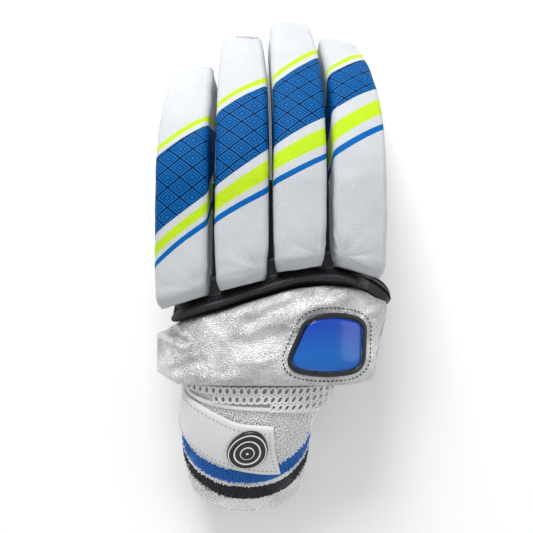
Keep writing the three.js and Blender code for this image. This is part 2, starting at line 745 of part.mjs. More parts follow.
// Spacer mesh between the pad and the knit, with open oval holes in staggered rows.
const meshStart = 0.01;
const meshEnd = { thumb: 0.2, little: 0.06 };
const meshTurn = { from: 8, to: 165 };
const meshRowAt = 0.05;
const meshRowPitch = 0.062;
const meshMargin = 0.026;

function meshEdge(u) {
  return THREE.MathUtils.lerp(meshEnd.thumb, meshEnd.little, u);
}

function meshHole(at, degrees) {
  const outwards = 1.5 * meshThickness;
  const base = onWrist(at, degrees, -seatGap);
  const top = onWrist(at, degrees, seatGap + outwards);
  const axis = top.clone().sub(base).normalize();
  const round = onWrist(at, degrees + 1, 0).sub(onWrist(at, degrees - 1, 0)).normalize();
  const along = new THREE.Vector3().crossVectors(axis, round).normalize();
  const ring = (centre) => [0, 60, 120, 180, 240, 300].map((turn) => {
    const angle = THREE.MathUtils.degToRad(turn);
    return centre.clone().addScaledVector(round, holeWidth / 2 * Math.cos(angle))
      .addScaledVector(along, holeLength / 2 * Math.sin(angle));
  });
  return skin([ring(base), ring(top)]);
}

function meshPanel() {
  const sheet = wristSheet(18, 2, meshThickness, (u, v) => ({
    at: THREE.MathUtils.lerp(meshStart, meshEdge(u), v),
    degrees: THREE.MathUtils.lerp(meshTurn.from, meshTurn.to, u),
  }));
  let solid = toSolid(sheet);
  for (let row = 0; row < meshRows; row += 1) {
    const at = meshRowAt + row * meshRowPitch;
    for (let column = 0; column < meshColumns; column += 1) {
      const share = (column + 0.5 + row % 2 / 2) / meshColumns;
      if (share > 1 - 0.5 / meshColumns || at + meshMargin > meshEdge(share)) continue;
      const degrees = THREE.MathUtils.lerp(meshTurn.from, meshTurn.to, share);
      solid = solid.subtract(toSolid(meshHole(at, degrees)));
    }
  }
  return toGeometry(solid);
}

// The strap comes round the little finger's side and ends in a slanted tongue on the back.
// Its edges are shares along the wristband, upper on the palm's side, and its end is cut aslant.
const strapRows = [
  { turn: 70, upper: 0.25, lower: 0.655 },
  { turn: 90, upper: 0.228, lower: 0.61 },
  { turn: 110, upper: 0.176, lower: 0.547 },
  { turn: 135, upper: 0.128, lower: 0.484 },
  { turn: 160, upper: 0.11, lower: 0.45 },
  { turn: 214, upper: 0.11, lower: 0.45 },
];
const strapSlant = 17;
const strapSteps = 18;

const wristStrap = wristSheet(strapSteps, 2, strapThickness, (u, v) => {
  const turn = THREE.MathUtils.lerp(strapRows[0].turn, strapRows[strapRows.length - 1].turn, u);
  const upper = valueAt(strapRows, 'upper', turn, 'turn');
  const lower = valueAt(strapRows, 'lower', turn, 'turn');
  return {
    at: THREE.MathUtils.lerp(upper, lower, v),
    degrees: turn + (0.5 - v) * strapSlant * (1 - u) ** 3,
  };
});

// The round badge follows the strap's curve.
const discPlace = { at: 0.4, across: 0 };
const discLie = 0.86;
const discSides = 24;

function discRing(share, outwards) {
  return Array.from({ length: discSides }, (_, side) => {
    const angle = 2 * Math.PI * side / discSides;
    const section = wristSection(
      discPlace.at - share * discLie * discRadius / wristLength * Math.sin(angle));
    const c = discPlace.across + share * discRadius * Math.cos(angle) / section.halfWidth;
    const s = (1 - Math.abs(c) ** section.squareness) ** (1 / section.squareness);
    return sectionPoint(section, c, s, sheetGap + strapThickness + seatGap + outwards);
  });
}

const strapBadge = skin([
  discRing(0.5, 0), discRing(1, 0), discRing(1, discThickness * 0.7),
  discRing(0.94, discThickness), discRing(0.5, discThickness),
]);

// Colours and finishes
const paleLeather = { color: 0xe6e8ea, roughness: 0.5, metalness: 0 };
const blackLeather = { color: 0x14161a, roughness: 0.45, metalness: 0 };
const silverLeather = { color: 0xc6c9cb, roughness: 0.38, metalness: 0.7 };
const blueGloss = { color: 0x1257c4, roughness: 0.18, metalness: 0 };
const whiteMesh = { color: 0xeceff0, roughness: 0.8, metalness: 0 };
const whiteKnit = { color: 0xe9ebec, roughness: 0.9, metalness: 0 };

const glove = new THREE.Group();

function place(name, geometry, finish) {
  const mesh = new THREE.Mesh(geometry, new THREE.MeshStandardMaterial(finish));
  mesh.name = name;
  glove.add(mesh);
}

const pipingPlug = pipingSolid(seatGap);
const wristPlug = tubePlug(wristSection, wristStations, sheetGap + meshThickness + seatGap);

// A stall's plug runs on a little past the web, so that it leaves no step there.
const webOverrun = 2;

for (const finger of fingers) {
  const stallPlug = skin(stallRings(finger, plugGap, [-webOverrun, seatGap]));
  place(`finger_stall_${finger.name}`, fingerStall(finger), paleLeather);
  place(`finger_roll_${finger.name}`,
    cutBy(fingerRoll(finger), palmPlug, stallPlug, pipingPlug, cuffPlug), paleLeather);
}
place('palm_shell', palmShell, paleLeather);
place('thumb_stall', thumbStall, paleLeather);
place('thumb_roll', thumbRoll, paleLeather);
place('knuckle_piping', knucklePiping, blackLeather);
place('cuff_pad', cutBy(cuffSolid(0), palmPlug, pipingPlug, wristPlug), silverLeather);
place('cuff_badge', cuffBadge, blueGloss);
place('cuff_badge_rim', cuffBadgeRim, blackLeather);
place('mesh_panel', meshPanel(), whiteMesh);
place('wristband', wristband, whiteKnit);
place('wrist_strap', wristStrap, paleLeather);
place('strap_badge', strapBadge, blackLeather);

// The origin is on the surface, under the middle of the whole glove.
const extent = new THREE.Box3().setFromObject(glove);
const middle = extent.getCenter(new THREE.Vector3());
glove.position.set(-middle.x, -middle.y, -extent.min.z);

export default glove;
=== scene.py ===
import math

import bpy
import numpy as np
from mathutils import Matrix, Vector


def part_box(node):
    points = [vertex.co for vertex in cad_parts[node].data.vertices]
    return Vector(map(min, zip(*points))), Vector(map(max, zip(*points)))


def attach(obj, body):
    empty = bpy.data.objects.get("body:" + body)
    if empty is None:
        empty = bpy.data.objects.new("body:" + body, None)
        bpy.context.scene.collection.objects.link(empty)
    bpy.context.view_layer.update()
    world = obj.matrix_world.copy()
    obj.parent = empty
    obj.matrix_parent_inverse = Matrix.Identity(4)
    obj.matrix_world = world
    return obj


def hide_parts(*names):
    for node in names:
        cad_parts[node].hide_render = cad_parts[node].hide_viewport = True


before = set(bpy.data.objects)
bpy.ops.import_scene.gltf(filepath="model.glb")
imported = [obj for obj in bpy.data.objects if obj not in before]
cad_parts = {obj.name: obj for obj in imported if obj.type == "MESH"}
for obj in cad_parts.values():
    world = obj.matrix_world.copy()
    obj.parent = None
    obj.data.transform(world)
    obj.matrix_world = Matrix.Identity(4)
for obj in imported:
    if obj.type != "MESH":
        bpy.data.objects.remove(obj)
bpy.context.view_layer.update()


# The camera looks straight down on the back of the glove, with the fingertips at the top of the
# picture, as the photograph does. Soft light comes from the fingertips' side and from above, and
# the glove lies on a plain pale floor.
def put_in_scene(name, data):
    """A new object of the scene, with its data."""
    thing = bpy.data.objects.new(name, data)
    bpy.context.scene.collection.objects.link(thing)
    return thing


camera_data = bpy.data.cameras.new("camera")
camera_data.lens = 63
camera_data.sensor_width = 36
camera = put_in_scene("camera", camera_data)
camera.location = (-0.0054, -0.0019, 0.598)
bpy.context.scene.camera = camera
bpy.context.scene.view_settings.view_transform = "Standard"


def soft_light(name, place, aim, size, power):
    """A square soft box that points from its place to its aim."""
    data = bpy.data.lights.new(name, "AREA")
    data.size = size
    data.energy = power
    lamp = put_in_scene(name, data)
    lamp.location = place
    lamp.rotation_euler = (Vector(aim) - Vector(place)).to_track_quat("-Z", "Y").to_euler()


soft_light("tip_light", (-0.2, 0.95, 0.6), (0, 0.02, 0.03), 0.5, 12.5)
soft_light("side_light", (-0.85, 0.1, 0.5), (0, 0, 0.03), 0.6, 1.0)
soft_light("other_side_light", (0.85, 0.05, 0.6), (0, 0, 0.03), 0.6, 1.7)
soft_light("wrist_light", (0.1, -0.9, 0.6), (0, -0.05, 0.03), 0.8, 1.5)

world = bpy.data.worlds.new("studio")
world.use_nodes = True
world.node_tree.nodes["Background"].inputs["Color"].default_value = (1, 1, 1, 1)
world.node_tree.nodes["Background"].inputs["Strength"].default_value = 0.5
bpy.context.scene.world = world



def plain_mesh(name, points, edges=(), faces=()):
    """A mesh of given points, edges and faces."""
    mesh = bpy.data.meshes.new(name)
    mesh.from_pydata(np.asarray(points, float).tolist(), list(edges), list(faces))
    return mesh


floor_half = 2.5
floor_corners = np.array([(-1, -1, 0), (1, -1, 0), (1, 1, 0), (-1, 1, 0)])
floor_mesh = plain_mesh("floor", floor_half * floor_corners, faces=[(0, 1, 2, 3)])
floor = put_in_scene("floor", floor_mesh)
floor_paint = bpy.data.materials.new("floor_paint")
floor_paint.use_nodes = True
floor_finish = floor_paint.node_tree.nodes["Principled BSDF"].inputs
floor_finish["Base Color"].default_value = (0.98, 0.98, 0.98, 1)
floor_finish["Roughness"].default_value = 0.7
floor_mesh.materials.append(floor_paint)


# The palm is a tube of soft white leather round the hand, open to the wrist and to the fingers.
# Its back is hidden under the rolls and the cuff, and its underside is plain, sewn down both
# sides. Lengths from here on are millimetres from the web line, the middle of its front edge.
finger_pitch = 32.2
roll_gap = 1.4
palm_length = 112
palm_height = 28
palm_middle = 44.45
hand_arch = 4.5
hand_half = 2 * finger_pitch - roll_gap
leather_wall = 2
seat_gap = 0.3
wrist_tilt = 42
palm_squareness = 3.2
palm_waves = (16, 0.35)
seam_pitch = 2.7
seam_drop = 0.42

palm_low, palm_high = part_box("palm_shell")
web_line = np.array([(palm_low.x + palm_high.x) / 2, palm_high.y, 0])


def table(columns, *rows):
    """Rows of shares under named columns."""
    names = columns.split()
    return [dict(zip(names, row)) for row in rows]


def between(t, span, start, start_slope, end, end_slope):
    """A smooth curve's value at a share of a span, from what it is at both ends of the span."""
    return ((2 * t**3 - 3 * t**2 + 1) * start + (t**3 - 2 * t**2 + t) * span * start_slope
            + (3 * t**2 - 2 * t**3) * end + (t**3 - t**2) * span * end_slope)


def read(rows, column, at, key="at"):
    """A smooth value of one column of a table, at places between its rows."""
    keys = np.array([row[key] for row in rows], float)
    values = np.array([row[column] for row in rows], float)
    steps = np.diff(values) / np.diff(keys)
    slopes = np.concatenate([steps[:1], (steps[1:] + steps[:-1]) / 2, steps[-1:]])
    i = np.clip(np.searchsorted(keys, at, side="right") - 1, 0, len(keys) - 2)
    span = keys[i + 1] - keys[i]
    t = np.clip((at - keys[i]) / span, 0, 1)
    return between(t, span, values[i], slopes[i], values[i + 1], slopes[i + 1])


def mix(a, b, share):
    """The value at a share of the way from a to b."""
    return a + (b - a) * share


def eased_in(t):
    """A share of 0 to 1 that starts and ends softly."""
    t = np.clip(t, 0, 1)
    return t * t * (3 - 2 * t)


def unit(ways):
    """Directions made one long."""
    return ways / np.linalg.norm(ways, axis=-1, keepdims=True)


def lengths_along(places):
    """How far along a line each of its places lies."""
    return np.concatenate([[0], np.cumsum(np.linalg.norm(np.diff(places, axis=0), axis=-1))])


def squared(c, squareness):
    """The cosine or sine of a turn, from a plain ellipse's (squareness 2) towards a box's."""
    return np.sign(c) * np.abs(c) ** (2 / squareness)


def oval_height(c, squareness):
    """The share of its height that an oval has at a share of its half width."""
    return (1 - c**squareness) ** (1 / squareness)


palm_rows = table(
    "at wide high across tilt",
    (0.0, 1.0, 1.0, 0.0, 0.0),
    (0.25, 0.97, 1.05, 0.0, 0.0),
    (0.5, 0.9, 1.1, -0.01, 0.05),
    (0.78, 0.79, 1.17, -0.04, 0.25),
    (1.0, 0.7, 1.22, -0.075, 0.5),
)


def arch_drop(x):
    """How far the back of the hand has dropped at a distance from its middle line."""
    return hand_arch * np.abs(x / hand_half) ** 3


def palm_section(at):
    """The palm's oval section at a share of the way from the web line to the wrist."""
    return {
        "x": read(palm_rows, "across", at) * hand_half,
        "y": -at * palm_length,
        "z": palm_middle,
        "half_width": read(palm_rows, "wide", at) * hand_half,
        "half_height": read(palm_rows, "high", at) * palm_height / 2,
        "tilt": math.radians(read(palm_rows, "tilt", at) * wrist_tilt),
        "squareness": palm_squareness,
        "arch": 1 - at,
    }


def section_points(section, c, s, outwards):
    """Points of a section: c and s are 1 at its side and at its top."""
    x = section["x"] + c * (section["half_width"] + outwards)
    up = s * (section["half_height"] + outwards)
    z = section["z"] + up * math.cos(section["tilt"]) - arch_drop(x) * section["arch"]
    y = section["y"] - up * math.sin(section["tilt"])
    return np.stack([x, y, np.maximum(z, np.maximum(-outwards, 0))], axis=-1)


def oval(sides, squareness):
    """c and s round an oval of the given squareness."""
    angle = 2 * np.pi * np.arange(sides) / sides
    return squared(np.cos(angle), squareness), squared(np.sin(angle), squareness)


def solid_mesh(name, rings, looped=False, uv=None):
    """A closed smooth mesh through rings of points. Its ends are closed, or joined if looped.

    uv holds a pair of metres for each point, and for the first point of each ring again."""
    rings = np.asarray(rings, float)
    count, sides = rings.shape[:2]
    points = list(rings.reshape(-1, 3))
    faces = []
    corners = []
    for band in range(count if looped else count - 1):
        low, high = band * sides, (band + 1) % count * sides
        for side in range(sides):
            after = (side + 1) % sides
            faces.append((low + side, low + after, high + after, high + side))
            corners.append(((band, side), (band, side + 1), (band + 1, side + 1), (band + 1, side)))
    if not looped:
        for ring, turned in ((0, True), (count - 1, False)):
            middle = len(points)
            points.append(rings[ring].mean(0))
            for side in range(sides):
                pair = [ring * sides + side, ring * sides + (side + 1) % sides]
                places = [(ring, side), (ring, side + 1)]
                if turned:
                    pair.reverse()
                    places.reverse()
                faces.append((*pair, middle))
                corners.append((*places, places[0]))
    solid = np.array(points)
    volume = sum(np.dot(solid[f[0]], np.cross(solid[f[i]], solid[f[i + 1]]))
                 for f in faces for i in range(1, len(f) - 1))
    if volume < 0:
        faces = [face[::-1] for face in faces]
        corners = [corner[::-1] for corner in corners]
    mesh = plain_mesh(name, solid + 0.0, faces=faces)
    mesh.shade_smooth()
    if uv is not None:
        uv = np.asarray(uv, float)
        if looped:
            uv = np.concatenate([uv, uv[:1]])
        layer = mesh.uv_layers.new(name="surface")
        flat = np.array([uv[place] for corner in corners for place in corner])
        layer.data.foreach_set("uv", flat.ravel().astype(np.float32))
    return mesh


def mesh_points(mesh):
    """A mesh's points as rows."""
    points = np.empty(len(mesh.vertices) * 3, np.float32)
    mesh.vertices.foreach_get("co", points)
    return points.reshape(-1, 3)


def place_points(mesh, points):
    """Moves a mesh's points to places given in millimetres from the web line."""
    placed = points * 0.001 + web_line
    mesh.vertices.foreach_set("co", placed.ravel().astype(np.float32))
    mesh.update()


def note(mesh, name, values, field="value"):
    """Keeps a value for each point of a mesh, or a direction if the field is vector."""
    layer = mesh.attributes.new(name, {"value": "FLOAT", "vector": "FLOAT_VECTOR"}[field], "POINT")
    layer.data.foreach_set(field, np.asarray(values, np.float32).ravel())


def finished(name, mesh):
    """The piece of a mesh given in millimetres from the web line, in the frame's metres."""
    place_points(mesh, mesh_points(mesh))
    return put_in_scene(name, mesh)


def skin(name, rings, looped=False, uv=None):
    """The piece of a closed mesh through rings given in millimetres from the web line."""
    return finished(name, solid_mesh(name, rings, looped, uv))


def wire(tree, kind, inputs=None, **settings):
    """A node of a tree, with its settings, and its inputs linked or set."""
    made = tree.nodes.new(kind)
    for key, value in settings.items():
        setattr(made, key, value)
    for key, value in (inputs or {}).items():
        if isinstance(value, bpy.types.NodeSocket):
            tree.links.new(value, made.inputs[key])
        else:
            made.inputs[key].default_value = value
    return made


def sum_of(tree, operation, first, second=0.0, third=0.0):
    """The result of one step of arithmetic in a tree."""
    made = wire(tree, "ShaderNodeMath", {0: first, 1: second, 2: third}, operation=operation)
    return made.outputs[0]


def noise(tree, place, scale, detail=2.0, output="Fac"):
    """Soft cloudy noise at a place."""
    made = wire(tree, "ShaderNodeTexNoise", {"Vector": place, "Scale": scale, "Detail": detail})
    return made.outputs[output]


def spread(tree, value, given=(0.0, 1.0), wanted=(0.0, 1.0)):
    """A value carried from a given range to a wanted one, and kept within it."""
    made = wire(tree, "ShaderNodeMapRange", {"Value": value, "From Min": given[0], "From Max": given[1],
                                             "To Min": wanted[0], "To Max": wanted[1]})
    return made.outputs["Result"]


def blended(tree, share, first, second, **settings):
    """A colour between two, by a share of the second. Either can be a triple or another's result."""
    first, second = ((*c, 1) if isinstance(c, tuple) else c for c in (first, second))
    made = wire(tree, "ShaderNodeMix", {"Factor": share, "A": first, "B": second},
                data_type="RGBA", **settings)
    return made.outputs["Result"]


def bumped(tree, height, strength, depth, **settings):
    """The normal of a face that a height raises and sinks."""
    made = wire(tree, "ShaderNodeBump", {"Height": height, "Strength": strength,
                                         "Distance": depth}, **settings)
    return made.outputs["Normal"]


def paint(tree, shader, colour, rough=None, bump=None):
    """Links a colour to a shader, with a roughness and a bump if they are given."""
    for key, source in (("Base Color", colour), ("Roughness", rough), ("Normal", bump)):
        if source is not None:
            tree.links.new(source, shader.inputs[key])


def effect(name, inputs, outputs):
    """An empty group for an effect that several materials share."""
    group = bpy.data.node_groups.new(name, "ShaderNodeTree")
    for label, kind, value in inputs:
        socket = group.interface.new_socket(label, in_out="INPUT", socket_type=kind)
        if value is not None:
            socket.default_value = value
    for label, kind in outputs:
        group.interface.new_socket(label, in_out="OUTPUT", socket_type=kind)
    return group, group.nodes.new("NodeGroupInput"), group.nodes.new("NodeGroupOutput")


def make_leather_grain():
    """Pebbled grain: a height, and a tone that is a little darker in its pits."""
    group, given, out = effect(
        "leather_grain",
        [("Place", "NodeSocketVector", None), ("Pebble", "NodeSocketFloat", 0.0008)],
        [("Height", "NodeSocketFloat"), ("Tone", "NodeSocketFloat")])
    scale = sum_of(group, "DIVIDE", 1.0, given.outputs["Pebble"])
    place = given.outputs["Place"]
    warp = noise(group, place, 900.0, output="Color")
    nudge = wire(group, "ShaderNodeVectorMath", {0: warp, 1: (0.0004,) * 3}, operation="MULTIPLY")
    moved = wire(group, "ShaderNodeVectorMath", {0: place, 1: nudge.outputs[0]}, operation="ADD")
    cells = wire(group, "ShaderNodeTexVoronoi", {"Vector": moved.outputs[0], "Scale": scale},
                 feature="DISTANCE_TO_EDGE")
    pebbles = spread(group, cells.outputs["Distance"], (0.0, 0.28))
    height = sum_of(group, "MULTIPLY_ADD", noise(group, place, 2600.0), 0.45, pebbles)
    cloud = sum_of(group, "MULTIPLY", noise(group, place, 55.0, 3.0), 0.45)
    shade = sum_of(group, "MULTIPLY_ADD", pebbles, 0.55, cloud)
    group.links.new(height, out.inputs["Height"])
    group.links.new(shade, out.inputs["Tone"])
    return group


leather_grain = make_leather_grain()


def group_node(tree, group, inputs):
    """A shared effect in a material's tree."""
    return wire(tree, "ShaderNodeGroup", inputs, node_tree=group)


def start_material(name, **values):
    """A material with its shader's uniform values set, and its tree and shader."""
    material = bpy.data.materials.new(name)
    material.use_nodes = True
    shader = material.node_tree.nodes["Principled BSDF"]
    for key, value in values.items():
        shader.inputs[key.replace("_", " ")].default_value = value
    return material, material.node_tree, shader


def leather(name, light, dark, roughness=0.5, pebble=0.0008, depth=0.00012, strength=0.5, **values):
    """Grained leather, from its dark pits to its light face."""
    material, tree, shader = start_material(name, **values)
    place = wire(tree, "ShaderNodeTexCoord").outputs["Object"]
    grain = group_node(tree, leather_grain, {"Place": place, "Pebble": pebble})
    tone = grain.outputs["Tone"]
    paint(tree, shader, blended(tree, tone, dark, light),
          spread(tree, tone, wanted=(roughness + 0.1, roughness - 0.05)),
          bumped(tree, grain.outputs["Height"], strength, depth))
    return material


def wrinkle(points, size, depth, seed, waves=14):
    """How far soft leather stands off its plain form at each point, in smooth random waves."""
    draws = np.random.default_rng(seed)
    total = np.zeros(points.shape[:-1])
    for _ in range(waves):
        way = unit(draws.normal(size=3))
        total += np.sin(points @ way * 2 * np.pi / (size * draws.uniform(0.6, 1.8))
                        + draws.uniform(0, 2 * np.pi))
    return depth * total / waves**0.5


def pushed_out(rings, amounts):
    """Rings with each point moved along its own outward direction by an amount."""
    around = np.roll(rings, -1, axis=1) - np.roll(rings, 1, axis=1)
    along = np.gradient(rings, axis=0)
    out = np.cross(around, along)
    out /= np.maximum(np.linalg.norm(out, axis=-1, keepdims=True), 1e-9)
    middles = rings.mean(1, keepdims=True)
    facing = np.sign(((rings - middles) * out).sum(-1).mean())
    return rings + out * facing * np.asarray(amounts)[..., None]


palm_leather = leather("palm_leather", (0.74, 0.74, 0.73), (0.56, 0.56, 0.55), pebble=0.0007)


def leather_tube(name, section_at, stations, wall, sides, waves, seed):
    """An open tube with a wall: along its outside and back along its inside."""
    sections = [section_at(at) for at in stations]
    ovals = [oval(sides, section["squareness"]) for section in sections]
    outer = np.array([section_points(k, c, s, 0) for k, (c, s) in zip(sections, ovals)])
    inner = np.array([section_points(k, c, s, -wall) for k, (c, s) in zip(sections, ovals)])
    fade = np.clip(np.minimum(stations - stations[0], stations[-1] - stations) * 12, 0, 1)[:, None]
    outer = pushed_out(outer, fade * (wrinkle(outer, *waves, seed) - waves[1]))
    outer[..., 2] = np.maximum(outer[..., 2], 0)
    return skin(name, np.concatenate([outer, inner[::-1]]), looped=True)


def node_tree(name, *inputs):
    """An empty Geometry Nodes tree with a geometry and some more inputs, and its two ends."""
    tree = bpy.data.node_groups.new(name, "GeometryNodeTree")
    for label, kind in (("Geometry", "NodeSocketGeometry"), *inputs):
        tree.interface.new_socket(label, in_out="INPUT", socket_type=kind)
    tree.interface.new_socket("Geometry", in_out="OUTPUT", socket_type="NodeSocketGeometry")
    return tree, tree.nodes.new("NodeGroupInput").outputs, tree.nodes.new("NodeGroupOutput")


def end_in_copies(tree, given, out, **where):
    """Ends a tree in copies of its shape, made real and given its material."""
    shape = wire(tree, "GeometryNodeObjectInfo", {"Object": given["Shape"]})
    copies = wire(tree, "GeometryNodeInstanceOnPoints",
                  {"Instance": shape.outputs["Geometry"], **where})
    real = wire(tree, "GeometryNodeRealizeInstances", {"Geometry": copies.outputs[0]})
    painted = wire(tree, "GeometryNodeSetMaterial", {"Geometry": real.outputs[0],
                                                     "Material": given["Material"]})
    tree.links.new(painted.outputs[0], out.inputs[0])
    return tree


def make_repeat_along():
    """Copies of a small shape at even steps along a line, turned with the line."""
    tree, given, out = node_tree("repeat_along", ("Pitch", "NodeSocketFloat"),
                                 ("Shape", "NodeSocketObject"), ("Material", "NodeSocketMaterial"))
    curve = wire(tree, "GeometryNodeMeshToCurve", {"Mesh": given["Geometry"]})
    even = wire(tree, "GeometryNodeResampleCurve", {"Curve": curve.outputs[0],
                                                    "Length": given["Pitch"]}, mode="LENGTH")
    up = wire(tree, "GeometryNodeInputNamedAttribute", {"Name": "up"}, data_type="FLOAT_VECTOR")
    size = wire(tree, "GeometryNodeInputNamedAttribute", {"Name": "size"}, data_type="FLOAT")
    ahead = wire(tree, "GeometryNodeInputTangent")
    turn = wire(tree, "FunctionNodeAxesToRotation",
                {"Primary Axis": up.outputs[0], "Secondary Axis": ahead.outputs[0]},
                primary_axis="Z", secondary_axis="X")
    return end_in_copies(tree, given, out, Points=even.outputs[0], Rotation=turn.outputs[0],
                         Scale=size.outputs[0])


repeat_along = make_repeat_along()


def settle(piece, tree, **values):
    """The piece with a node tree run on it and turned into a plain mesh."""
    step = piece.modifiers.new("nodes", "NODES")
    step.node_group = tree
    for socket in tree.interface.items_tree:
        if socket.in_out == "INPUT" and socket.name in values:
            step[socket.identifier] = values[socket.name]
    bpy.context.view_layer.update()
    mesh = bpy.data.meshes.new_from_object(piece.evaluated_get(bpy.context.evaluated_depsgraph_get()))
    piece.modifiers.remove(step)
    piece.data = mesh
    mesh.shade_smooth()
    return piece


def small_shape(name, rings):
    """A small closed shape, given in millimetres round its own origin, to be copied."""
    mesh = solid_mesh(name, np.asarray(rings) * 0.001)
    return bpy.data.objects.new(name, mesh)


def copies_along(name, places, ups, pitch, shape, material, sizes=None, closed=False):
    """Copies of a shape along a line given in millimetres from the web line."""
    count = len(places)
    edges = [(i, (i + 1) % count) for i in range(count if closed else count - 1)]
    mesh = plain_mesh(name, places, edges)
    note(mesh, "up", ups, "vector")
    note(mesh, "size", np.ones(count) if sizes is None else sizes)
    return settle(finished(name, mesh), repeat_along, Pitch=pitch * 0.001, Shape=shape,
                  Material=material)


def bead(length, width, height, sides=8, steps=7):
    """Rings of a rounded grain that lies along x: a stitch or a tuft."""
    turns = np.linspace(0, 2 * np.pi, sides, endpoint=False)
    return [np.stack([np.full(sides, -math.cos(a) * length / 2),
                      np.cos(turns) * math.sin(a) * width / 2,
                      np.sin(turns) * math.sin(a) * height / 2], -1)
            for a in np.linspace(0.35, np.pi - 0.35, steps)]


seam_stitch = small_shape("seam_stitch", bead(1.8, 0.6, 0.5))
seam_thread = leather("seam_thread", (0.5, 0.5, 0.5), (0.36, 0.36, 0.36), roughness=0.7,
                      pebble=0.0004, strength=0.3)


def seam(name, places, outs):
    """A row of stitches in the white leather along a line, whose outs point out of it."""
    outs = unit(np.asarray(outs, float))
    row = copies_along(name, places, outs, seam_pitch, seam_stitch, seam_thread)
    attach(row, "root")


palm = leather_tube("palm", palm_section, np.linspace(0, 1, 60), leather_wall, 120, palm_waves, 3)
palm.data.materials.append(palm_leather)
# Painted shade: the palm's and stalls' faces under the rolls are painted near-black, as the shade in the
# gaps between the rolls and in front of the black roll.
rearmost = -80
lowest_gap_shade = 12
gap_shade = leather("gap_shade_black", (0.03, 0.03, 0.035), (0.012, 0.012, 0.014), roughness=0.8)


def shade_gap_faces(piece, lowest, foremost=0):
    """Paints shade: near-black on the faces that look up from under the rolls, which lie in shadow where
    they show between the rolls and in front of the black roll.

    lowest is the least upward lean of such a face, and foremost its furthest place in front."""
    piece.data.materials.append(gap_shade)
    for face in piece.data.polygons:
        y = (face.center.y - web_line[1]) * 1000
        face.material_index = int(face.normal.z > lowest and rearmost < y < foremost
                                  and face.center.z > lowest_gap_shade * 0.001)


shade_gap_faces(palm, 0.6)
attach(palm, "root")
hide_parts("palm_shell")
for side, label in ((-1, "little"), (1, "thumb")):
    line = np.array([section_points(palm_section(at), side * 0.985, -seam_drop, 0.2)
                     for at in np.linspace(0.03, 0.95, 70)])
    seam("palm_seam_" + label, line, np.tile((side, 0, -0.45), (70, 1)))


# Each finger goes into a stall of the same leather, open to the palm and rounded at its tip. The
# stalls bend down to the surface, creased across at the joints and sewn down both sides.
stall_width = 27
stall_height = 25
stall_squareness = 2.5
stall_nose = 0.42 * stall_height
stall_joints = (0.34, 0.4, 0.68, 0.73)
joint_width = 0.016
joint_depth = 0.9
tip_rest = 0.24
bend_length = 16
roll_overhang = 14

fingers = table(
    "name place reach back rear front sway",
    ("little", -1.47, 71, 0.62, 0.3, 0.22, 0.06),
    ("ring", -0.5, 93.5, 0.535, 0.24, 0.04, -0.04),
    ("middle", 0.5, 103, 0.45, 0.14, -0.02, -0.14),
    ("index", 1.47, 91, 0.465, -0.28, -0.2, -0.24),
)
finger_rows = table(
    "at wide high fall sway",
    (0.0, 1.1, 1.1, 0.0, 0.0),
    (0.18, 1.02, 1.0, 0.06, 0.0),
    (0.45, 0.98, 0.96, 0.29, 0.12),
    (0.7, 0.93, 0.9, 0.59, 0.45),
    (0.88, 0.86, 0.84, 0.84, 0.8),
    (1.0, 0.8, 0.8, 1.0, 1.0),
)


def finger_section(finger, y):
    """The finger's middle and half sizes at a distance in front of the web line."""
    at = min(max(y / (finger["reach"] - roll_overhang), 0), 1.06)
    x = finger_pitch * (finger["place"] + finger["sway"] * read(finger_rows, "sway", at))
    rest = stall_height / 2 * tip_rest
    z = mix(palm_middle - arch_drop(x), rest, read(finger_rows, "fall", at))
    half_height = stall_height / 2 * read(finger_rows, "high", at)
    if y < 0:
        half_height = palm_section(min(1, -y / palm_length))["half_height"]
    half_width = stall_width / 2 * read(finger_rows, "wide", at)
    return np.array([x, y, z]), half_width, half_height


def finger_frame(finger, y):
    """The finger's middle there, and its directions across and up out of its back."""
    middle = finger_section(finger, y)[0]
    along = finger_section(finger, y + 1)[0] - finger_section(finger, y - 1)[0]
    along[0] = 0
    along = unit(mix(np.array([0, 1, 0]), unit(along), eased_in(y / bend_length)))
    straight_up = np.array([0, -along[2], along[1]])
    x = finger["place"] * finger_pitch
    roll = math.atan(3 * hand_arch * x * abs(x) / hand_half**3)
    side = np.array([1, 0, 0])
    up = straight_up * math.cos(roll) + side * math.sin(roll)
    across = side * math.cos(roll) - straight_up * math.sin(roll)
    return middle, across, up


def stall_rings(finger, outwards, sides=72):
    """Rings of a stall, some way out of its face, from the web line to its rounded tip."""
    tip = finger["reach"] - roll_overhang
    turns = np.radians(np.linspace(0, 82, 12))
    stations = [*np.linspace(seat_gap, tip - stall_nose, 46)[:-1],
                *(tip - stall_nose * (1 - np.sin(turns)))]
    c, s = oval(sides, stall_squareness)
    rings = []
    for y in stations:
        into = max(0, (y - tip + stall_nose) / stall_nose)
        shrink = math.sqrt(1 - into**2)
        _, half_width, half_height = finger_section(finger, y)
        middle, across, up = finger_frame(finger, y + outwards * into)
        a = c * max(half_width * shrink + outwards, 1)
        b = s * max(half_height * shrink + outwards, 1)
        ring = middle + a[:, None] * across + b[:, None] * up
        ring[:, 2] = np.maximum(ring[:, 2], max(-outwards, 0))
        rings.append(ring)
    return np.array(rings)


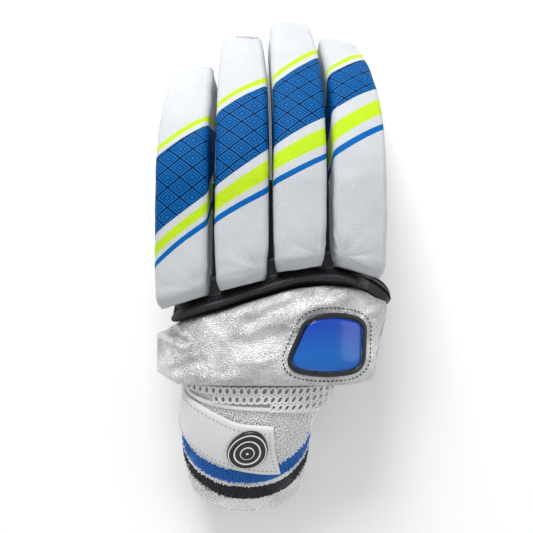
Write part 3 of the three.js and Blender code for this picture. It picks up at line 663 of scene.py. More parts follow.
for number, finger in enumerate(fingers):
    outer = stall_rings(finger, 0)
    reach = np.linspace(0, 1, len(outer))[:, None]
    joints = sum(np.exp(-((reach - place) / joint_width) ** 2) for place in stall_joints)
    under = np.clip(-oval(outer.shape[1], stall_squareness)[1], 0, 1)[None, :]
    dent = -joint_depth * joints * under**0.6 + wrinkle(outer, 11, 0.22, 20 + number) - 0.25
    outer = pushed_out(outer, dent * np.clip(reach * 10, 0, 1) * np.clip((1 - reach) * 6, 0, 1))
    outer[..., 2] = np.maximum(outer[..., 2], 0)
    inner = stall_rings(finger, -leather_wall)
    stall = skin("stall_" + finger["name"], np.concatenate([outer[::-1], inner]))
    stall.data.materials.append(palm_leather)
    # The stall's faces under its roll get the same painted near-black shade as the palm's.
    is_outer = abs(finger["place"]) > 1
    shade_gap_faces(stall, 0.45 if is_outer else 0.1, finger["reach"] - roll_overhang - 12)
    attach(stall, "root")
    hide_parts("finger_stall_" + finger["name"])
    for side, label in ((-1, "outer"), (1, "inner")):
        line, outs = [], []
        for y in np.linspace(6, finger["reach"] - roll_overhang - 9, 40):
            middle, across, up = finger_frame(finger, y)
            _, half_width, half_height = finger_section(finger, y)
            line.append(middle + side * 0.95 * half_width * across - seam_drop * half_height * up)
            outs.append(side * across - 0.4 * up)
            line[-1][2] = max(line[-1][2], 0.6)
        seam(f"stall_seam_{finger['name']}_{label}", line, outs)


# A roll of dense foam under pale grained leather protects the back of each finger. It is sewn
# down at its rear corners, and its leather is printed with slanting bands of blue and yellow.
roll_thickness = 17
roll_edge = 4.5
roll_crown = 1.2
roll_lean = 0.45
roll_held = 0.953
roll_nose = 0.4
wide_band = 20
lozenge_pitch = 0.0088
band_blue = (0.0, 0.135, 0.46)
band_yellow = (0.53, 0.79, 0.02)
line_black = (0.006, 0.008, 0.014)

roll_rows = table(
    "at top base thick skirt",
    (0.0, 0.82, 0.89, 0.62, 0.72),
    (0.03, 0.92, 0.95, 0.9, 0.72),
    (0.09, 0.95, 0.97, 1.0, 0.72),
    (0.25, 0.985, 1.0, 1.03, 0.74),
    (0.4, 0.985, 1.0, 1.03, 0.76),
    (0.52, 0.98, 1.0, 1.0, 0.5),
    (0.66, 0.96, 0.98, 0.96, 0.4),
    (0.78, 0.93, 0.95, 0.9, 0.36),
    (0.88, 0.87, 0.91, 0.83, 0.3),
    (0.945, 0.8, 0.86, 0.76, 0.28),
    (0.98, 0.72, 0.8, 0.66, 0.3),
    (1.0, 0.56, 0.68, 0.5, 0.34),
)


def palm_top(x, y):
    """The height of the palm's back at a place in plan."""
    section = palm_section(min(max(-y / palm_length, 0), 1))
    c = np.minimum(0.98, np.abs(x - section["x"]) / section["half_width"])
    crown = section["half_height"] * oval_height(c, palm_squareness)
    return section["z"] - arch_drop(x) * section["arch"] + crown


def roll_outline(top_half, base_half, low, high):
    """The right half of a roll's section, from its lower corner up and over to its top line."""
    radius = min(roll_edge, top_half * 0.5, (high - low) * 0.4)
    turns = np.radians(np.linspace(0, 90, 13))
    sides = np.linspace(0, 1, 9)[:-1]
    lean = sides**1.2
    side = np.stack([mix(base_half, top_half, lean) - 0.5 * np.sin(np.pi * sides),
                     mix(low, high - radius, sides)], -1)
    edge = np.stack([top_half - radius + radius * np.cos(turns),
                     high - radius * (1 - np.sin(turns))], -1)
    inwards = np.linspace(1, 0, 13)[1:]
    flat = top_half - radius
    top = np.stack([flat * inwards, high + roll_crown * (1 - inwards**2)], -1)
    return np.concatenate([side, edge, top])


def roll_rings(finger, stations):
    """Rings of a roll: under it from its middle to the right, over its top and round again."""
    width = finger_pitch - roll_gap
    rear = -finger["back"] * palm_length - 1.2
    length = finger["reach"] - roll_lean * roll_thickness - rear
    rings = []
    for at in stations:
        y = rear + min(at, roll_held) * length
        middle, across, up = finger_frame(finger, y)
        middle = middle + roll_nose * max(0, at - roll_held) * length * np.cross(up, across)
        _, half_width, half_height = finger_section(finger, y)
        if y >= 0:
            half_height = mix(palm_section(0)["half_height"], half_height, eased_in(y / bend_length))
        low = half_height * read(roll_rows, "skirt", at)
        high = half_height + roll_thickness * read(roll_rows, "thick", at)
        right = roll_outline(width / 2 * read(roll_rows, "top", at),
                             width / 2 * read(roll_rows, "base", at), low, high)
        under_a = np.linspace(0, 1, 9)[:-1] * right[0, 0]
        if y >= 0:
            into = np.clip((y - finger["reach"] + roll_overhang + stall_nose) / stall_nose, 0, 1)
            share = np.minimum(under_a / half_width, 1)
            carried = half_height * math.sqrt(1 - into**2) * oval_height(share, stall_squareness)
        else:
            carried = np.full(len(under_a), half_height)
        under = np.stack([under_a, np.maximum(low, carried + seat_gap)], -1)
        half = np.concatenate([under, right])
        mirrored = half[1:-1][::-1] * (-1, 1)
        outline = np.concatenate([half, mirrored])
        slant = (finger["rear"] * max(0, 1 - at * 3)
                 + finger["front"] * max(0, 1 - (1 - at) * 5))
        ring = middle + outline[:, :1] * across + outline[:, 1:] * up
        ring[:, 1] += outline[:, 0] * slant
        if y < 0:
            ring[:, 2] = np.maximum(ring[:, 2], palm_top(ring[:, 0], ring[:, 1].mean()) + seat_gap)
        ring[:, 2] = np.maximum(ring[:, 2], 0)
        rings.append(ring)
    return np.array(rings)


def closed_ends(rings, shares=(0.985, 0.93, 0.8, 0.55, 0.25)):
    """The rings with their ends drawn in, ring by ring, towards the end's middle."""
    first, last = rings[0], rings[-1]
    lead = [mix(first.mean(0), first, share) for share in reversed(shares)]
    tail = [mix(last.mean(0), last, share) for share in shares]
    return np.concatenate([lead, rings, tail])


def surface_pairs(rings):
    """Metres round each ring from its top line, and along the top line from the web line."""
    looped = np.concatenate([rings, rings[:, :1]], 1)
    middle = rings.shape[1] // 2
    steps = np.linalg.norm(np.diff(looped, axis=1), axis=-1)
    round_it = np.concatenate([np.zeros((len(rings), 1)), np.cumsum(steps, 1)], 1)
    u = round_it[:, middle][:, None] - round_it
    along = lengths_along(rings[:, middle])
    along = along - np.interp(0, rings[:, middle, 1], along)
    v = np.repeat(along[:, None], looped.shape[1], 1)
    return np.stack([u, v], -1) * 0.001


# Each roll's bands: their lower and upper edges in millimetres along its top line from the web
# line, and how steeply each edge rises to the right.
band_rows = table(
    "finger colour low low_rise high high_rise",
    ("little", band_blue, -38.2, 0.7, -34.6, 0.73),
    ("little", band_yellow, -31.5, 0.75, -25.4, 0.77),
    ("little", band_blue, -20.6, 0.75, 24.0, 0.71),
    ("little", band_yellow, 27.3, 0.74, 31.2, 0.74),
    ("ring", band_blue, -16.8, 0.53, -13.2, 0.54),
    ("ring", band_yellow, -9.4, 0.6, 0.2, 0.68),
    ("ring", band_blue, 5.9, 0.73, 52.0, 0.7),
    ("ring", band_yellow, 55.5, 0.67, 59.4, 0.69),
    ("middle", band_blue, 3.4, 0.52, 7.0, 0.51),
    ("middle", band_yellow, 12.4, 0.52, 22.5, 0.59),
    ("middle", band_blue, 28.6, 0.64, 72.3, 0.8),
    ("middle", band_yellow, 75.9, 0.8, 79.8, 0.82),
    ("index", band_blue, 22.2, 0.64, 26.4, 0.63),
    ("index", band_yellow, 32.6, 0.7, 43.5, 0.7),
    ("index", band_blue, 52.7, 0.66, 80.4, 0.73),
    ("index", band_yellow, 83.3, 0.75, 86.9, 0.78),
)


def stepped(tree, value, stops):
    """A colour that changes in steps, each from its place on."""
    ramp = wire(tree, "ShaderNodeValToRGB", {"Fac": value})
    ramp.color_ramp.interpolation = "CONSTANT"
    while len(ramp.color_ramp.elements) < len(stops):
        ramp.color_ramp.elements.new(0.5)
    for element, (place, colour) in zip(ramp.color_ramp.elements, stops):
        element.position = place
        element.color = (*colour, 1)
    return ramp.outputs["Color"]


def make_lozenges():
    """A plain diaper pattern of lozenges within lozenges, as a mask of its drawn lines."""
    group, given, out = effect(
        "lozenges",
        [("Across", "NodeSocketFloat", 0.0), ("Along", "NodeSocketFloat", 0.0),
         ("Pitch", "NodeSocketFloat", 0.009)],
        [("Lines", "NodeSocketFloat")])
    parts = []
    for sign in (1, -1):
        slanted = sum_of(group, "MULTIPLY_ADD", given.outputs["Across"], 0.62 * sign,
                         sum_of(group, "MULTIPLY", given.outputs["Along"], 0.78))
        cell = sum_of(group, "FRACT", sum_of(group, "DIVIDE", slanted, given.outputs["Pitch"]))
        parts.append(sum_of(group, "ABSOLUTE", sum_of(group, "SUBTRACT", cell, 0.5)))
    reach = sum_of(group, "MAXIMUM", *parts)
    bare, drawn = (0, 0, 0), (1, 1, 1)
    stops = ((0.0, bare), (0.24, drawn), (0.35, bare), (0.56, drawn), (0.66, bare), (0.9, drawn))
    lines = stepped(group, sum_of(group, "MULTIPLY", reach, 2.0), stops)
    group.links.new(lines, out.inputs["Lines"])
    return group


lozenges = make_lozenges()


def printed_leather(name):
    """Pale leather with a roll's bands printed on it, by the roll's own surface map."""
    material, tree, shader = start_material("roll_leather_" + name, Specular_IOR_Level=0.06)
    place = wire(tree, "ShaderNodeTexCoord").outputs["Object"]
    grain = group_node(tree, leather_grain, {"Place": place, "Pebble": 0.0011})
    tone = grain.outputs["Tone"]
    flat = wire(tree, "ShaderNodeUVMap", uv_map="surface")
    split = wire(tree, "ShaderNodeSeparateXYZ", {"Vector": flat.outputs["UV"]})
    across, along = split.outputs["X"], split.outputs["Y"]
    drawn = group_node(tree, lozenges, {"Across": across, "Along": along, "Pitch": lozenge_pitch})
    unsteady = sum_of(tree, "MULTIPLY_ADD", noise(tree, place, 1400.0), 0.0004, along)
    colour = blended(tree, tone, (0.47, 0.49, 0.515), (0.6, 0.62, 0.645))
    for band in (row for row in band_rows if row["finger"] == name):
        masks = []
        for edge, test in (("low", "GREATER_THAN"), ("high", "LESS_THAN")):
            level = sum_of(tree, "MULTIPLY_ADD", across, -band[edge + "_rise"], unsteady)
            masks.append(sum_of(tree, test, level, band[edge] * 0.001))
        inside = sum_of(tree, "MULTIPLY", *masks)
        ink = blended(tree, tone, tuple(0.72 * part for part in band["colour"]), band["colour"])
        if band["high"] - band["low"] > wide_band:
            ink = blended(tree, drawn.outputs["Lines"], ink, line_black)
        colour = blended(tree, inside, colour, ink)
    paint(tree, shader, colour, sum_of(tree, "MULTIPLY_ADD", tone, -0.12, 0.54),
          bumped(tree, grain.outputs["Height"], 0.6, 0.00018))
    return material


def gather(u, v, middle, reach, depth, folds, seed):
    """Leather drawn in at a sewn corner, with folds that fan out from it."""
    away = np.hypot(u - middle[0], v - middle[1])
    angle = np.arctan2(v - middle[1], u - middle[0])
    turn = np.random.default_rng(seed).uniform(0, 6)
    fan = np.sin(folds * angle + turn) + 0.5 * np.sin(2.3 * folds * angle - turn)
    return (-depth * np.exp(-(away / (0.55 * reach)) ** 2)
            + 0.14 * depth * fan * np.exp(-((away - 0.8 * reach) / (0.6 * reach)) ** 2))


# Where each roll's leather is drawn in at its rear edge: how far across, and how deep.
sewn_corners = {"little": (12, 0.7), "ring": (12, 1.5), "middle": (12, 1.3), "index": (-12, 1.5)}
roll_stations = np.concatenate([np.linspace(0, 0.1, 16)[:-1], np.linspace(0.1, 0.86, 66)[:-1],
                                np.linspace(0.86, 1, 26)])
for number, finger in enumerate(fingers):
    rings = roll_rings(finger, roll_stations)
    u, v = np.moveaxis(surface_pairs(rings)[:, :-1] * 1000, -1, 0)
    rear = v[0, 0]
    sewn, depth = sewn_corners[finger["name"]]
    dents = (wrinkle(rings, 24, 0.2, 40 + number) + wrinkle(rings, 7, 0.06, 60 + number)
             + gather(u, v, (sewn, rear + 8), 15, depth, 9, 80 + number)
             + gather(u, v, (-sewn, rear + 5), 9, 0.3 * depth, 7, 90 + number))
    rings = closed_ends(pushed_out(rings, dents * (np.abs(u) < 26)))
    roll = skin("roll_" + finger["name"], rings, uv=surface_pairs(rings))
    roll.data.materials.append(printed_leather(finger["name"]))
    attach(roll, "root")
    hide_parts("finger_roll_" + finger["name"])


# The thumb is folded in under the palm, in a stall of its own, and lies on a foam pad that is
# flat where it rests.
thumb_width = 27
thumb_height = 18
thumb_pad = 9
thumb_pad_margin = 2.5
thumb_pad_from = 0.3
thumb_pad_squareness = 4.5
thumb_round_from = 0.84
thumb_rest = thumb_pad + seat_gap + thumb_height / 2

thumb_line = table(
    "across back rise size",
    (0.46, 0.86, 0.95, 1.15),
    (0.64, 0.68, 0.42, 1.12),
    (0.68, 0.46, 0.06, 1.05),
    (0.58, 0.2, 0.0, 1.0),
    (0.42, -0.02, 0.0, 0.92),
    (0.32, -0.13, 0.0, 0.8),
)
thumb_places = np.array([(row["across"] * hand_half, -row["back"] * palm_length,
                          mix(thumb_rest, palm_middle, row["rise"])) for row in thumb_line])
thumb_sizes = [{"at": i / (len(thumb_line) - 1), "size": row["size"]}
               for i, row in enumerate(thumb_line)]


def centripetal(places, share):
    """A point of the centripetal curve through a few places, whose ends are carried on."""
    spans = len(places) - 1
    i = min(int(share * spans), spans - 1)
    t = share * spans - i
    p1, p2 = places[i], places[i + 1]
    p0 = places[i - 1] if i > 0 else 2 * p1 - p2
    p3 = places[i + 2] if i < spans - 1 else 2 * p2 - p1
    d0, d1, d2 = (math.sqrt(np.linalg.norm(b - a)) for a, b in ((p0, p1), (p1, p2), (p2, p3)))
    slope1 = (p1 - p0) / d0 - (p2 - p0) / (d0 + d1) + (p2 - p1) / d1
    slope2 = (p2 - p1) / d1 - (p3 - p1) / (d1 + d2) + (p3 - p2) / d2
    return between(t, d1, p1, slope1, p2, slope2)


def thumb_frame(share):
    """The thumb's middle at a share along it, its directions, and its size there."""
    middle = centripetal(thumb_places, share)
    step = 0.002
    along = unit(centripetal(thumb_places, min(1, share + step))
                 - centripetal(thumb_places, max(0, share - step)))
    across = unit(np.array([along[1], -along[0], 0]))
    return middle, along, across, np.cross(across, along), float(read(thumb_sizes, "size", share))


def thumb_rings(outwards, shares, sides=64):
    """Rings of the thumb's stall, some way out of its face, to its rounded tip."""
    c, s = oval(sides, stall_squareness)
    rings = []
    for share in shares:
        middle, along, across, up, size = thumb_frame(share)
        into = max(0, (share - thumb_round_from) / (1 - thumb_round_from))
        shrink = math.sqrt(max(0, 1 - 0.985 * into**2))
        half_width = thumb_width / 2 * size * shrink + outwards
        half_height = thumb_height / 2 * size * shrink + outwards
        middle = middle + along * outwards * into
        rings.append(middle + (c * half_width)[:, None] * across + (s * half_height)[:, None] * up)
    return np.array(rings)


thumb_shares = np.concatenate([
    np.linspace(0.06, thumb_round_from, 50)[:-1],
    mix(thumb_round_from, 1, np.sin(np.radians(np.linspace(0, 90, 14))))])
outer = thumb_rings(0, thumb_shares)
reach = np.linspace(0, 1, len(outer))[:, None]
outer = pushed_out(outer, (wrinkle(outer, 12, 0.25, 51) - 0.25) * np.clip((1 - reach) * 6, 0, 1))
inner = thumb_rings(-leather_wall, thumb_shares[:-2])
thumb = skin("thumb_stall_leather", np.concatenate([outer[::-1], inner]))
thumb.data.materials.append(palm_leather)
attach(thumb, "root")
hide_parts("thumb_stall")

pad_rings = []
for share in np.linspace(thumb_pad_from, 1, 60):
    middle, along, across, up, size = thumb_frame(share)
    end = min(1, 4 * min(share - thumb_pad_from, 1 - share) / (1 - thumb_pad_from))
    shrink = 0.62 + 0.38 * math.sqrt(1 - (1 - end) ** 2)
    half = (thumb_width / 2 * size + thumb_pad_margin) * shrink
    height = thumb_pad + thumb_height * 0.38
    c, s = oval(72, thumb_pad_squareness)
    hollow = thumb_rest - thumb_height / 2 * size * np.sqrt(
        np.maximum(0, 1 - np.abs(c * half / (thumb_width / 2 * size)) ** 2.5)) - seat_gap
    z = height / 2 * (1 + s)
    z = np.where(s > 0, np.minimum(z, np.maximum(hollow, 1)), z)
    pad_rings.append(np.stack([middle[0] + across[0] * c * half, middle[1] + across[1] * c * half, z], -1))
pad_rings = closed_ends(np.array(pad_rings))
thumb_cushion = skin("thumb_cushion", pad_rings, uv=surface_pairs(pad_rings))
thumb_cushion.data.materials.append(palm_leather)
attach(thumb_cushion, "root")
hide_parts("thumb_roll")


# A black leather roll runs across the knuckles, between the finger rolls and the cuff. It is
# finely ribbed over a cord, with a flat lip at its foot, and ends in a flattened tongue.
piping_width = 9.5
piping_height = 10
tongue_from = 0.8
strip_width = 1.15
rib_pitch = 1.45

knuckle_line = table(
    "across back drop size",
    (-0.9, 0.72, 0.1, 0.7),
    (-0.74, 0.678, 0.0, 1.0),
    (-0.45, 0.63, 0.0, 1.0),
    (-0.15, 0.575, 0.0, 1.0),
    (0.22, 0.515, 0.0, 1.0),
    (0.5, 0.5, 0.0, 1.0),
    (0.72, 0.515, 0.0, 1.0),
    (0.93, 0.56, 0.35, 0.95),
    (1.12, 0.635, 0.9, 0.55),
)


def knuckle_place(share):
    """The piping's place at a share along it, on the back of the hand, and its size there."""
    across = mix(knuckle_line[0]["across"], knuckle_line[-1]["across"], share)
    x = across * hand_half
    y = -read(knuckle_line, "back", across, "across") * palm_length
    drop = read(knuckle_line, "drop", across, "across") * piping_height
    size = float(read(knuckle_line, "size", across, "across"))
    return np.array([x, y, palm_top(x, y) - drop]), size


def knuckle_frame(share):
    """The piping's place on the hand, its directions forward and up, and its size."""
    place, size = knuckle_place(share)
    step = 0.01
    ahead = unit(knuckle_place(min(1, share + step))[0] - knuckle_place(max(0, share - step))[0])
    forward = unit(np.array([-ahead[1], ahead[0], 0]))
    return place, forward, np.cross(ahead, forward), size


def piping_outline(count=44):
    """A round rib between two flat lips, with a groove on both sides of the rib."""
    t = np.linspace(-1, 1, count)
    rib = np.sqrt(np.maximum(0, 1 - (t / 0.72) ** 2))
    lip = 0.36 * (1 - np.abs(t) ** 8)
    return np.stack([t * 0.5, np.maximum(lip, rib)], -1)


piping_rings = []
rib_line, rib_ups, rib_sizes = [], [], []
for share in np.linspace(0, 1, 200):
    place, forward, up, size = knuckle_frame(share)
    profile = piping_outline()
    tongue = np.clip((share - tongue_from) * 14, 0, 1)
    rounded = max(0.15, math.sqrt(1 - (1 - min(1, share / 0.03, (1 - share) / 0.07)) ** 2))
    size = mix(size, 1, 0.75 * tongue) * rounded
    ridges = 0.62 - 0.22 * np.exp(-((np.abs(profile[:, 0]) - 0.3) / 0.05) ** 2)
    flattened = np.minimum(ridges, 0.75 * (1 - np.abs(2 * profile[:, 0]) ** 6) + 0.02)
    profile[:, 1] = mix(profile[:, 1] * (1 - 0.05 * (1 - tongue)), flattened, tongue)
    profile[:, 0] *= 1 + 0.3 * tongue
    strip = strip_width * (1 - 0.75 * tongue) * np.clip(share * 12, 0.2, 1)
    lip = np.stack([0.5 + strip * np.array([0.3, 0.7, 0.97, 1.0]), [0.13, 0.12, 0.1, -0.02]], -1)
    closing = np.stack([np.linspace(0.5 + strip, -0.5, 12)[1:-1], np.full(10, -0.03)], -1)
    outline = np.concatenate([profile, lip, closing])
    piping_rings.append(place + (outline[:, :1] * piping_width * size) * forward
                        + (outline[:, 1:] * piping_height * size) * up)
    if share < tongue_from + 0.01:
        rib_line.append(place)
        rib_ups.append(up)
        rib_sizes.append(size)
piping_rings = closed_ends(np.array(piping_rings), (0.96, 0.8, 0.4))
piping_leather = leather("piping_leather", (0.014, 0.016, 0.02), (0.006, 0.007, 0.009),
                         roughness=0.3, pebble=0.0006, strength=0.35)
piping = skin("piping", piping_rings, uv=surface_pairs(piping_rings))
piping.data.materials.append(piping_leather)
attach(piping, "root")
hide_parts("knuckle_piping")

arc = np.radians(np.linspace(8, 172, 22))
rib_spine = np.stack([np.zeros(22), 3.3 * np.cos(arc), 9.55 * np.sin(arc)], -1)
rib_out = np.stack([np.zeros(22), np.cos(arc), 0.5 * np.sin(arc)], -1)
rib_turns = np.linspace(0, 2 * np.pi, 7, endpoint=False)
rib = small_shape("rib", [spine + 0.52 * np.cos(rib_turns)[:, None] * out
                          + 0.6 * np.sin(rib_turns)[:, None] * np.array([1, 0, 0])
                          for spine, out in zip(rib_spine, rib_out)])
ribs = copies_along("piping_ribs", rib_line, rib_ups, rib_pitch, rib, piping_leather, rib_sizes)
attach(ribs, "root")


# The cuff is a broad pad of silver foiled leather over foam, on the back of the hand. Its front
# edge follows the black roll, its rear edge hangs past the wrist, and its corners are crumpled.
cuff_length = 57.6
cuff_half = 67
cuff_thickness = 9.5
cuff_fall = 17
cuff_taper = 0.1
corner_from = 0.8
follows_to = 0.9
edge_share = 0.34
foremost = min(row["back"] for row in knuckle_line)
cuff_rear = -foremost * palm_length - piping_width / 2 - cuff_length
cuff_crown = palm_middle + palm_section(1)["half_height"] + seat_gap
thumb_side_swell = 2.6

cuff_folds = table(
    "start end width depth",
    ((39, -60), (-14, -82), 4.0, 1.5),
    ((8, -60), (-30, -74), 3.0, 0.7),
    ((-66, -88), (-50, -93), 2.2, 1.9),
    ((-60, -80), (-54, -90), 2.0, 1.4),
    ((67, -77), (56, -80), 1.8, 1.1),
    ((64, -103), (57, -99), 1.8, 1.0),
    ((-62, -112), (-40, -104), 3.0, 0.6),
)


def cuff_edges(u):
    """The front and rear edges of the cuff at a share across it."""
    x = mix(-1, 1, u)
    across = np.clip(x, knuckle_line[0]["across"], follows_to)
    corner = np.maximum(0, np.abs(x) - corner_from) / (1 - corner_from)
    front = -read(knuckle_line, "back", across, "across") * palm_length - piping_width / 2 - seat_gap
    rear_cut = np.where(x > 0, 0.04, 0.11)
    return front - corner**2 * cuff_length * 0.07, cuff_rear + corner * cuff_length * rear_cut


def cuff_plan(u, v):
    """The place in plan at shares across the cuff and along it."""
    front, rear = cuff_edges(u)
    return u * cuff_half * (2 - cuff_taper * v) - cuff_half, mix(front, rear, v)


def cuff_base(x):
    """The height of the cuff's underside, which bends down round the hand."""
    return cuff_crown - cuff_fall * np.abs(x / cuff_half) ** 2.6


def cuff_fullness(u, v):
    """The pad's share of its thickness: full in its middle and rounded down at its edges."""
    def rounded(t, length):
        share = np.minimum(1, np.minimum(t, 1 - t) * length / cuff_thickness)
        return np.sqrt(np.maximum(0, 1 - (1 - share) ** 2))
    return edge_share + (1 - edge_share) * rounded(u, 2 * cuff_half) * rounded(v, cuff_length)


def on_cuff(x, y, outwards):
    """A point some way out of the cuff's face at a place in plan."""
    u, v = 0.5, 0.5
    for _ in range(6):
        u = np.clip((x + cuff_half) / (cuff_half * (2 - cuff_taper * v)), 0, 1)
        front, rear = cuff_edges(u)
        v = np.clip((y - front) / (rear - front), 0, 1)
    z = cuff_base(x) + cuff_thickness * cuff_fullness(u, v) + outwards
    return np.stack(np.broadcast_arrays(x, y, z), -1)


def eased(count):
    """Shares from 0 to 1 that lie closer together at both ends."""
    t = np.linspace(0, 1, count)
    return mix(t, 0.5 - 0.5 * np.cos(np.pi * t), 0.75)


def fold(x, y, start, end, width, depth):
    """A soft valley along a line in plan, with a swell on both sides of it."""
    start, end = np.array(start, float), np.array(end, float)
    way = end - start
    t = np.clip(((x - start[0]) * way[0] + (y - start[1]) * way[1]) / (way @ way), 0, 1)
    off = np.hypot(x - start[0] - t * way[0], y - start[1] - t * way[1]) / width
    return depth * (0.7 * np.exp(-((off - 1.5) ** 2)) - np.exp(-off**2))


cuff_rings = []
along_cuff = eased(110)
for u in eased(230):
    x, y = cuff_plan(u, along_cuff)
    top = cuff_base(x) + cuff_thickness * cuff_fullness(u, along_cuff)
    low = cuff_base(x) + 0 * y
    x = np.ones_like(y) * x
    over = np.stack([x, y, top], -1)
    creased = 0.8 - np.abs(wrinkle(over, 44, 1.5, 5)) - np.abs(wrinkle(over, 17, 0.6, 6)) * 0.8
    creased = creased + wrinkle(over, 6, 0.1, 7)
    creased += sum(fold(x, y, **row) for row in cuff_folds)
    over[:, 2] += creased * np.clip(cuff_thickness * cuff_fullness(u, along_cuff) / 6, 0.25, 1)
    swell = np.exp(-((y + 78) / 7) ** 2) * np.clip((x - 55) / 12, 0, 1)
    over[:, 0] += thumb_side_swell * swell
    under = np.stack([x + thumb_side_swell * swell, y, low], -1)[::-1]
    cuff_rings.append(np.concatenate([over, under]))
cuff_rings = np.array(cuff_rings)
silver, tree, shader = start_material("silver_leather", Metallic=0.8, Roughness=0.4)
place = wire(tree, "ShaderNodeTexCoord").outputs["Object"]
grain = group_node(tree, leather_grain, {"Place": place, "Pebble": 0.0012})
flecks = noise(tree, place, 2500.0)
patches = sum_of(tree, "MULTIPLY_ADD", noise(tree, place, 70.0, 4.0), 1.3, -1.3)
sparkle = sum_of(tree, "MULTIPLY_ADD", flecks, 2.4, patches)
coarse = sum_of(tree, "MULTIPLY_ADD", flecks, 1.4, grain.outputs["Height"])
paint(tree, shader,
      blended(tree, sparkle, (0.26, 0.27, 0.27), (0.96, 0.97, 0.97), clamp_factor=True),
      spread(tree, flecks, (0.3, 0.7), (0.52, 0.3)), bumped(tree, coarse, 0.75, 0.0003))
cuff = skin("cuff", cuff_rings)
cuff.data.materials.append(silver)
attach(cuff, "root")
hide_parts("cuff_pad")


# The badge is a domed blue panel in a moulded black rim, wider towards the wrist, and sewn
# round on the cuff. It is left without words.
badge_width = 41.6
badge_height = 25
badge_bow = 3
badge_turn = math.radians(-2)
badge_x = 0.234 * 2 * cuff_half
badge_y = -0.843 * palm_length
rim_width = 2.6
rim_thickness = 2.8
stitching_margin = 2.6
stitching_pitch = 2.5

badge_corners = table(
    "across front corner",
    (0.5, 0.5, 4.5),
    (-0.26, 0.5, 4.5),
    (-0.5, -0.5, 7),
    (0.5, -0.5, 6.5),
)


def badge_edge(start, end, share):
    """Points along one edge of the badge, whose front and rear edges bow outwards."""
    share = np.asarray(share, float)[:, None]
    bow = np.sign(start[1]) * badge_bow if start[1] == end[1] else 0
    return mix(start, end, share) + np.array([0, bow]) * 4 * share * (1 - share)


def badge_outline(grow, count=160):
    """The badge's plan, grown outwards."""
    corners = [np.array([row["across"] * badge_width, row["front"] * badge_height])
               for row in badge_corners]
    places = []
    for index, row in enumerate(badge_corners):
        here, before, after = corners[index], corners[index - 1], corners[(index + 1) % 4]
        start = badge_edge(before, here, [1 - row["corner"] / np.linalg.norm(here - before)])[0]
        first = row["corner"] / np.linalg.norm(here - after)
        last = 1 - badge_corners[(index + 1) % 4]["corner"] / np.linalg.norm(here - after)
        end = badge_edge(here, after, [first])[0]
        turn = np.linspace(0, 1, 12)[:, None]
        places.extend((1 - turn) ** 2 * start + 2 * turn * (1 - turn) * here + turn**2 * end)
        places.extend(badge_edge(here, after, np.linspace(first, last, 14)[1:-1]))
    places = resampled(np.array(places), count)
    along = unit(np.roll(places, -1, 0) - np.roll(places, 1, 0))
    return places + grow * np.stack([along[:, 1], -along[:, 0]], -1)


def resampled(places, count):
    """A closed line again, with a count of points at even steps."""
    closed = np.concatenate([places, places[:1]])
    along = lengths_along(closed)
    at = np.linspace(0, along[-1], count, endpoint=False)
    return np.stack([np.interp(at, along, closed[:, k]) for k in range(closed.shape[1])], -1)


def badge_ring(grow, share, outwards):
    """The badge's outline on the cuff: grown, drawn in by a share, and some way out of its face."""
    turn = np.array([[math.cos(badge_turn), -math.sin(badge_turn)],
                     [math.sin(badge_turn), math.cos(badge_turn)]])
    turned = (badge_outline(grow) * share) @ turn.T
    return on_cuff(badge_x + turned[:, 0], badge_y + turned[:, 1], outwards)


badge_gloss, tree, shader = start_material("badge_gloss", Roughness=0.2, Coat_Weight=0.15,
                                           Coat_Roughness=0.05)
place = wire(tree, "ShaderNodeTexCoord").outputs["Object"]
split = wire(tree, "ShaderNodeSeparateXYZ", {"Vector": place})
badge_middle = badge_y * 0.001 + float(web_line[1])
off_middle = sum_of(tree, "SUBTRACT", split.outputs["X"], badge_x * 0.001 + float(web_line[0]))
bow = sum_of(tree, "POWER", sum_of(tree, "ABSOLUTE", off_middle), 2.0)
level = sum_of(tree, "MULTIPLY_ADD", bow, 12.0, split.outputs["Y"])
fade = spread(tree, level, (badge_middle - 0.004, badge_middle + 0.012))
paint(tree, shader, blended(tree, fade, (0.0, 0.115, 0.47), (0.0, 0.05, 0.4)))
badge_rings = [badge_ring(0, share, height) for share, height in (
    (0.5, 0.1), (0.9, 0.1), (1, 0.1), (1, 0.9), (0.995, 1.3), (0.985, 1.6), (0.965, 1.9),
    (0.94, 2.15), (0.9, 2.35), (0.8, 2.6), (0.65, 2.85), (0.45, 3.0), (0.25, 3.1), (0.1, 3.12))]
badge = skin("badge", badge_rings)
badge.data.materials.append(badge_gloss)
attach(badge, "root")
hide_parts("cuff_badge")

rim_black = leather("rim_black", (0.012, 0.013, 0.016), (0.006, 0.006, 0.008), roughness=0.3,
                    pebble=0.0012, strength=0.08)
turns = np.linspace(0, 2 * np.pi, 20, endpoint=False)
rim_rings = [badge_ring(seat_gap + rim_width / 2 + rim_width / 2 * math.cos(turn), 1,
                        rim_thickness / 2 + 0.15 + rim_thickness / 2 * math.sin(turn))
             for turn in turns]
rim = skin("badge_rim", rim_rings, looped=True)
rim.data.materials.append(rim_black)
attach(rim, "root")
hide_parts("cuff_badge_rim")

thread_black = leather("thread_black", (0.03, 0.032, 0.036), (0.012, 0.013, 0.015), roughness=0.6,
                       pebble=0.0004, strength=0.3)
stitch = small_shape("stitch", bead(1.7, 0.75, 0.6))
badge_seam = badge_ring(seat_gap + rim_width + stitching_margin, 1, 0.35)
badge_stitches = copies_along("badge_stitches", badge_seam, np.tile((0, 0, 1), (len(badge_seam), 1)),
                              stitching_pitch, stitch, thread_black, closed=True)
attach(badge_stitches, "root")


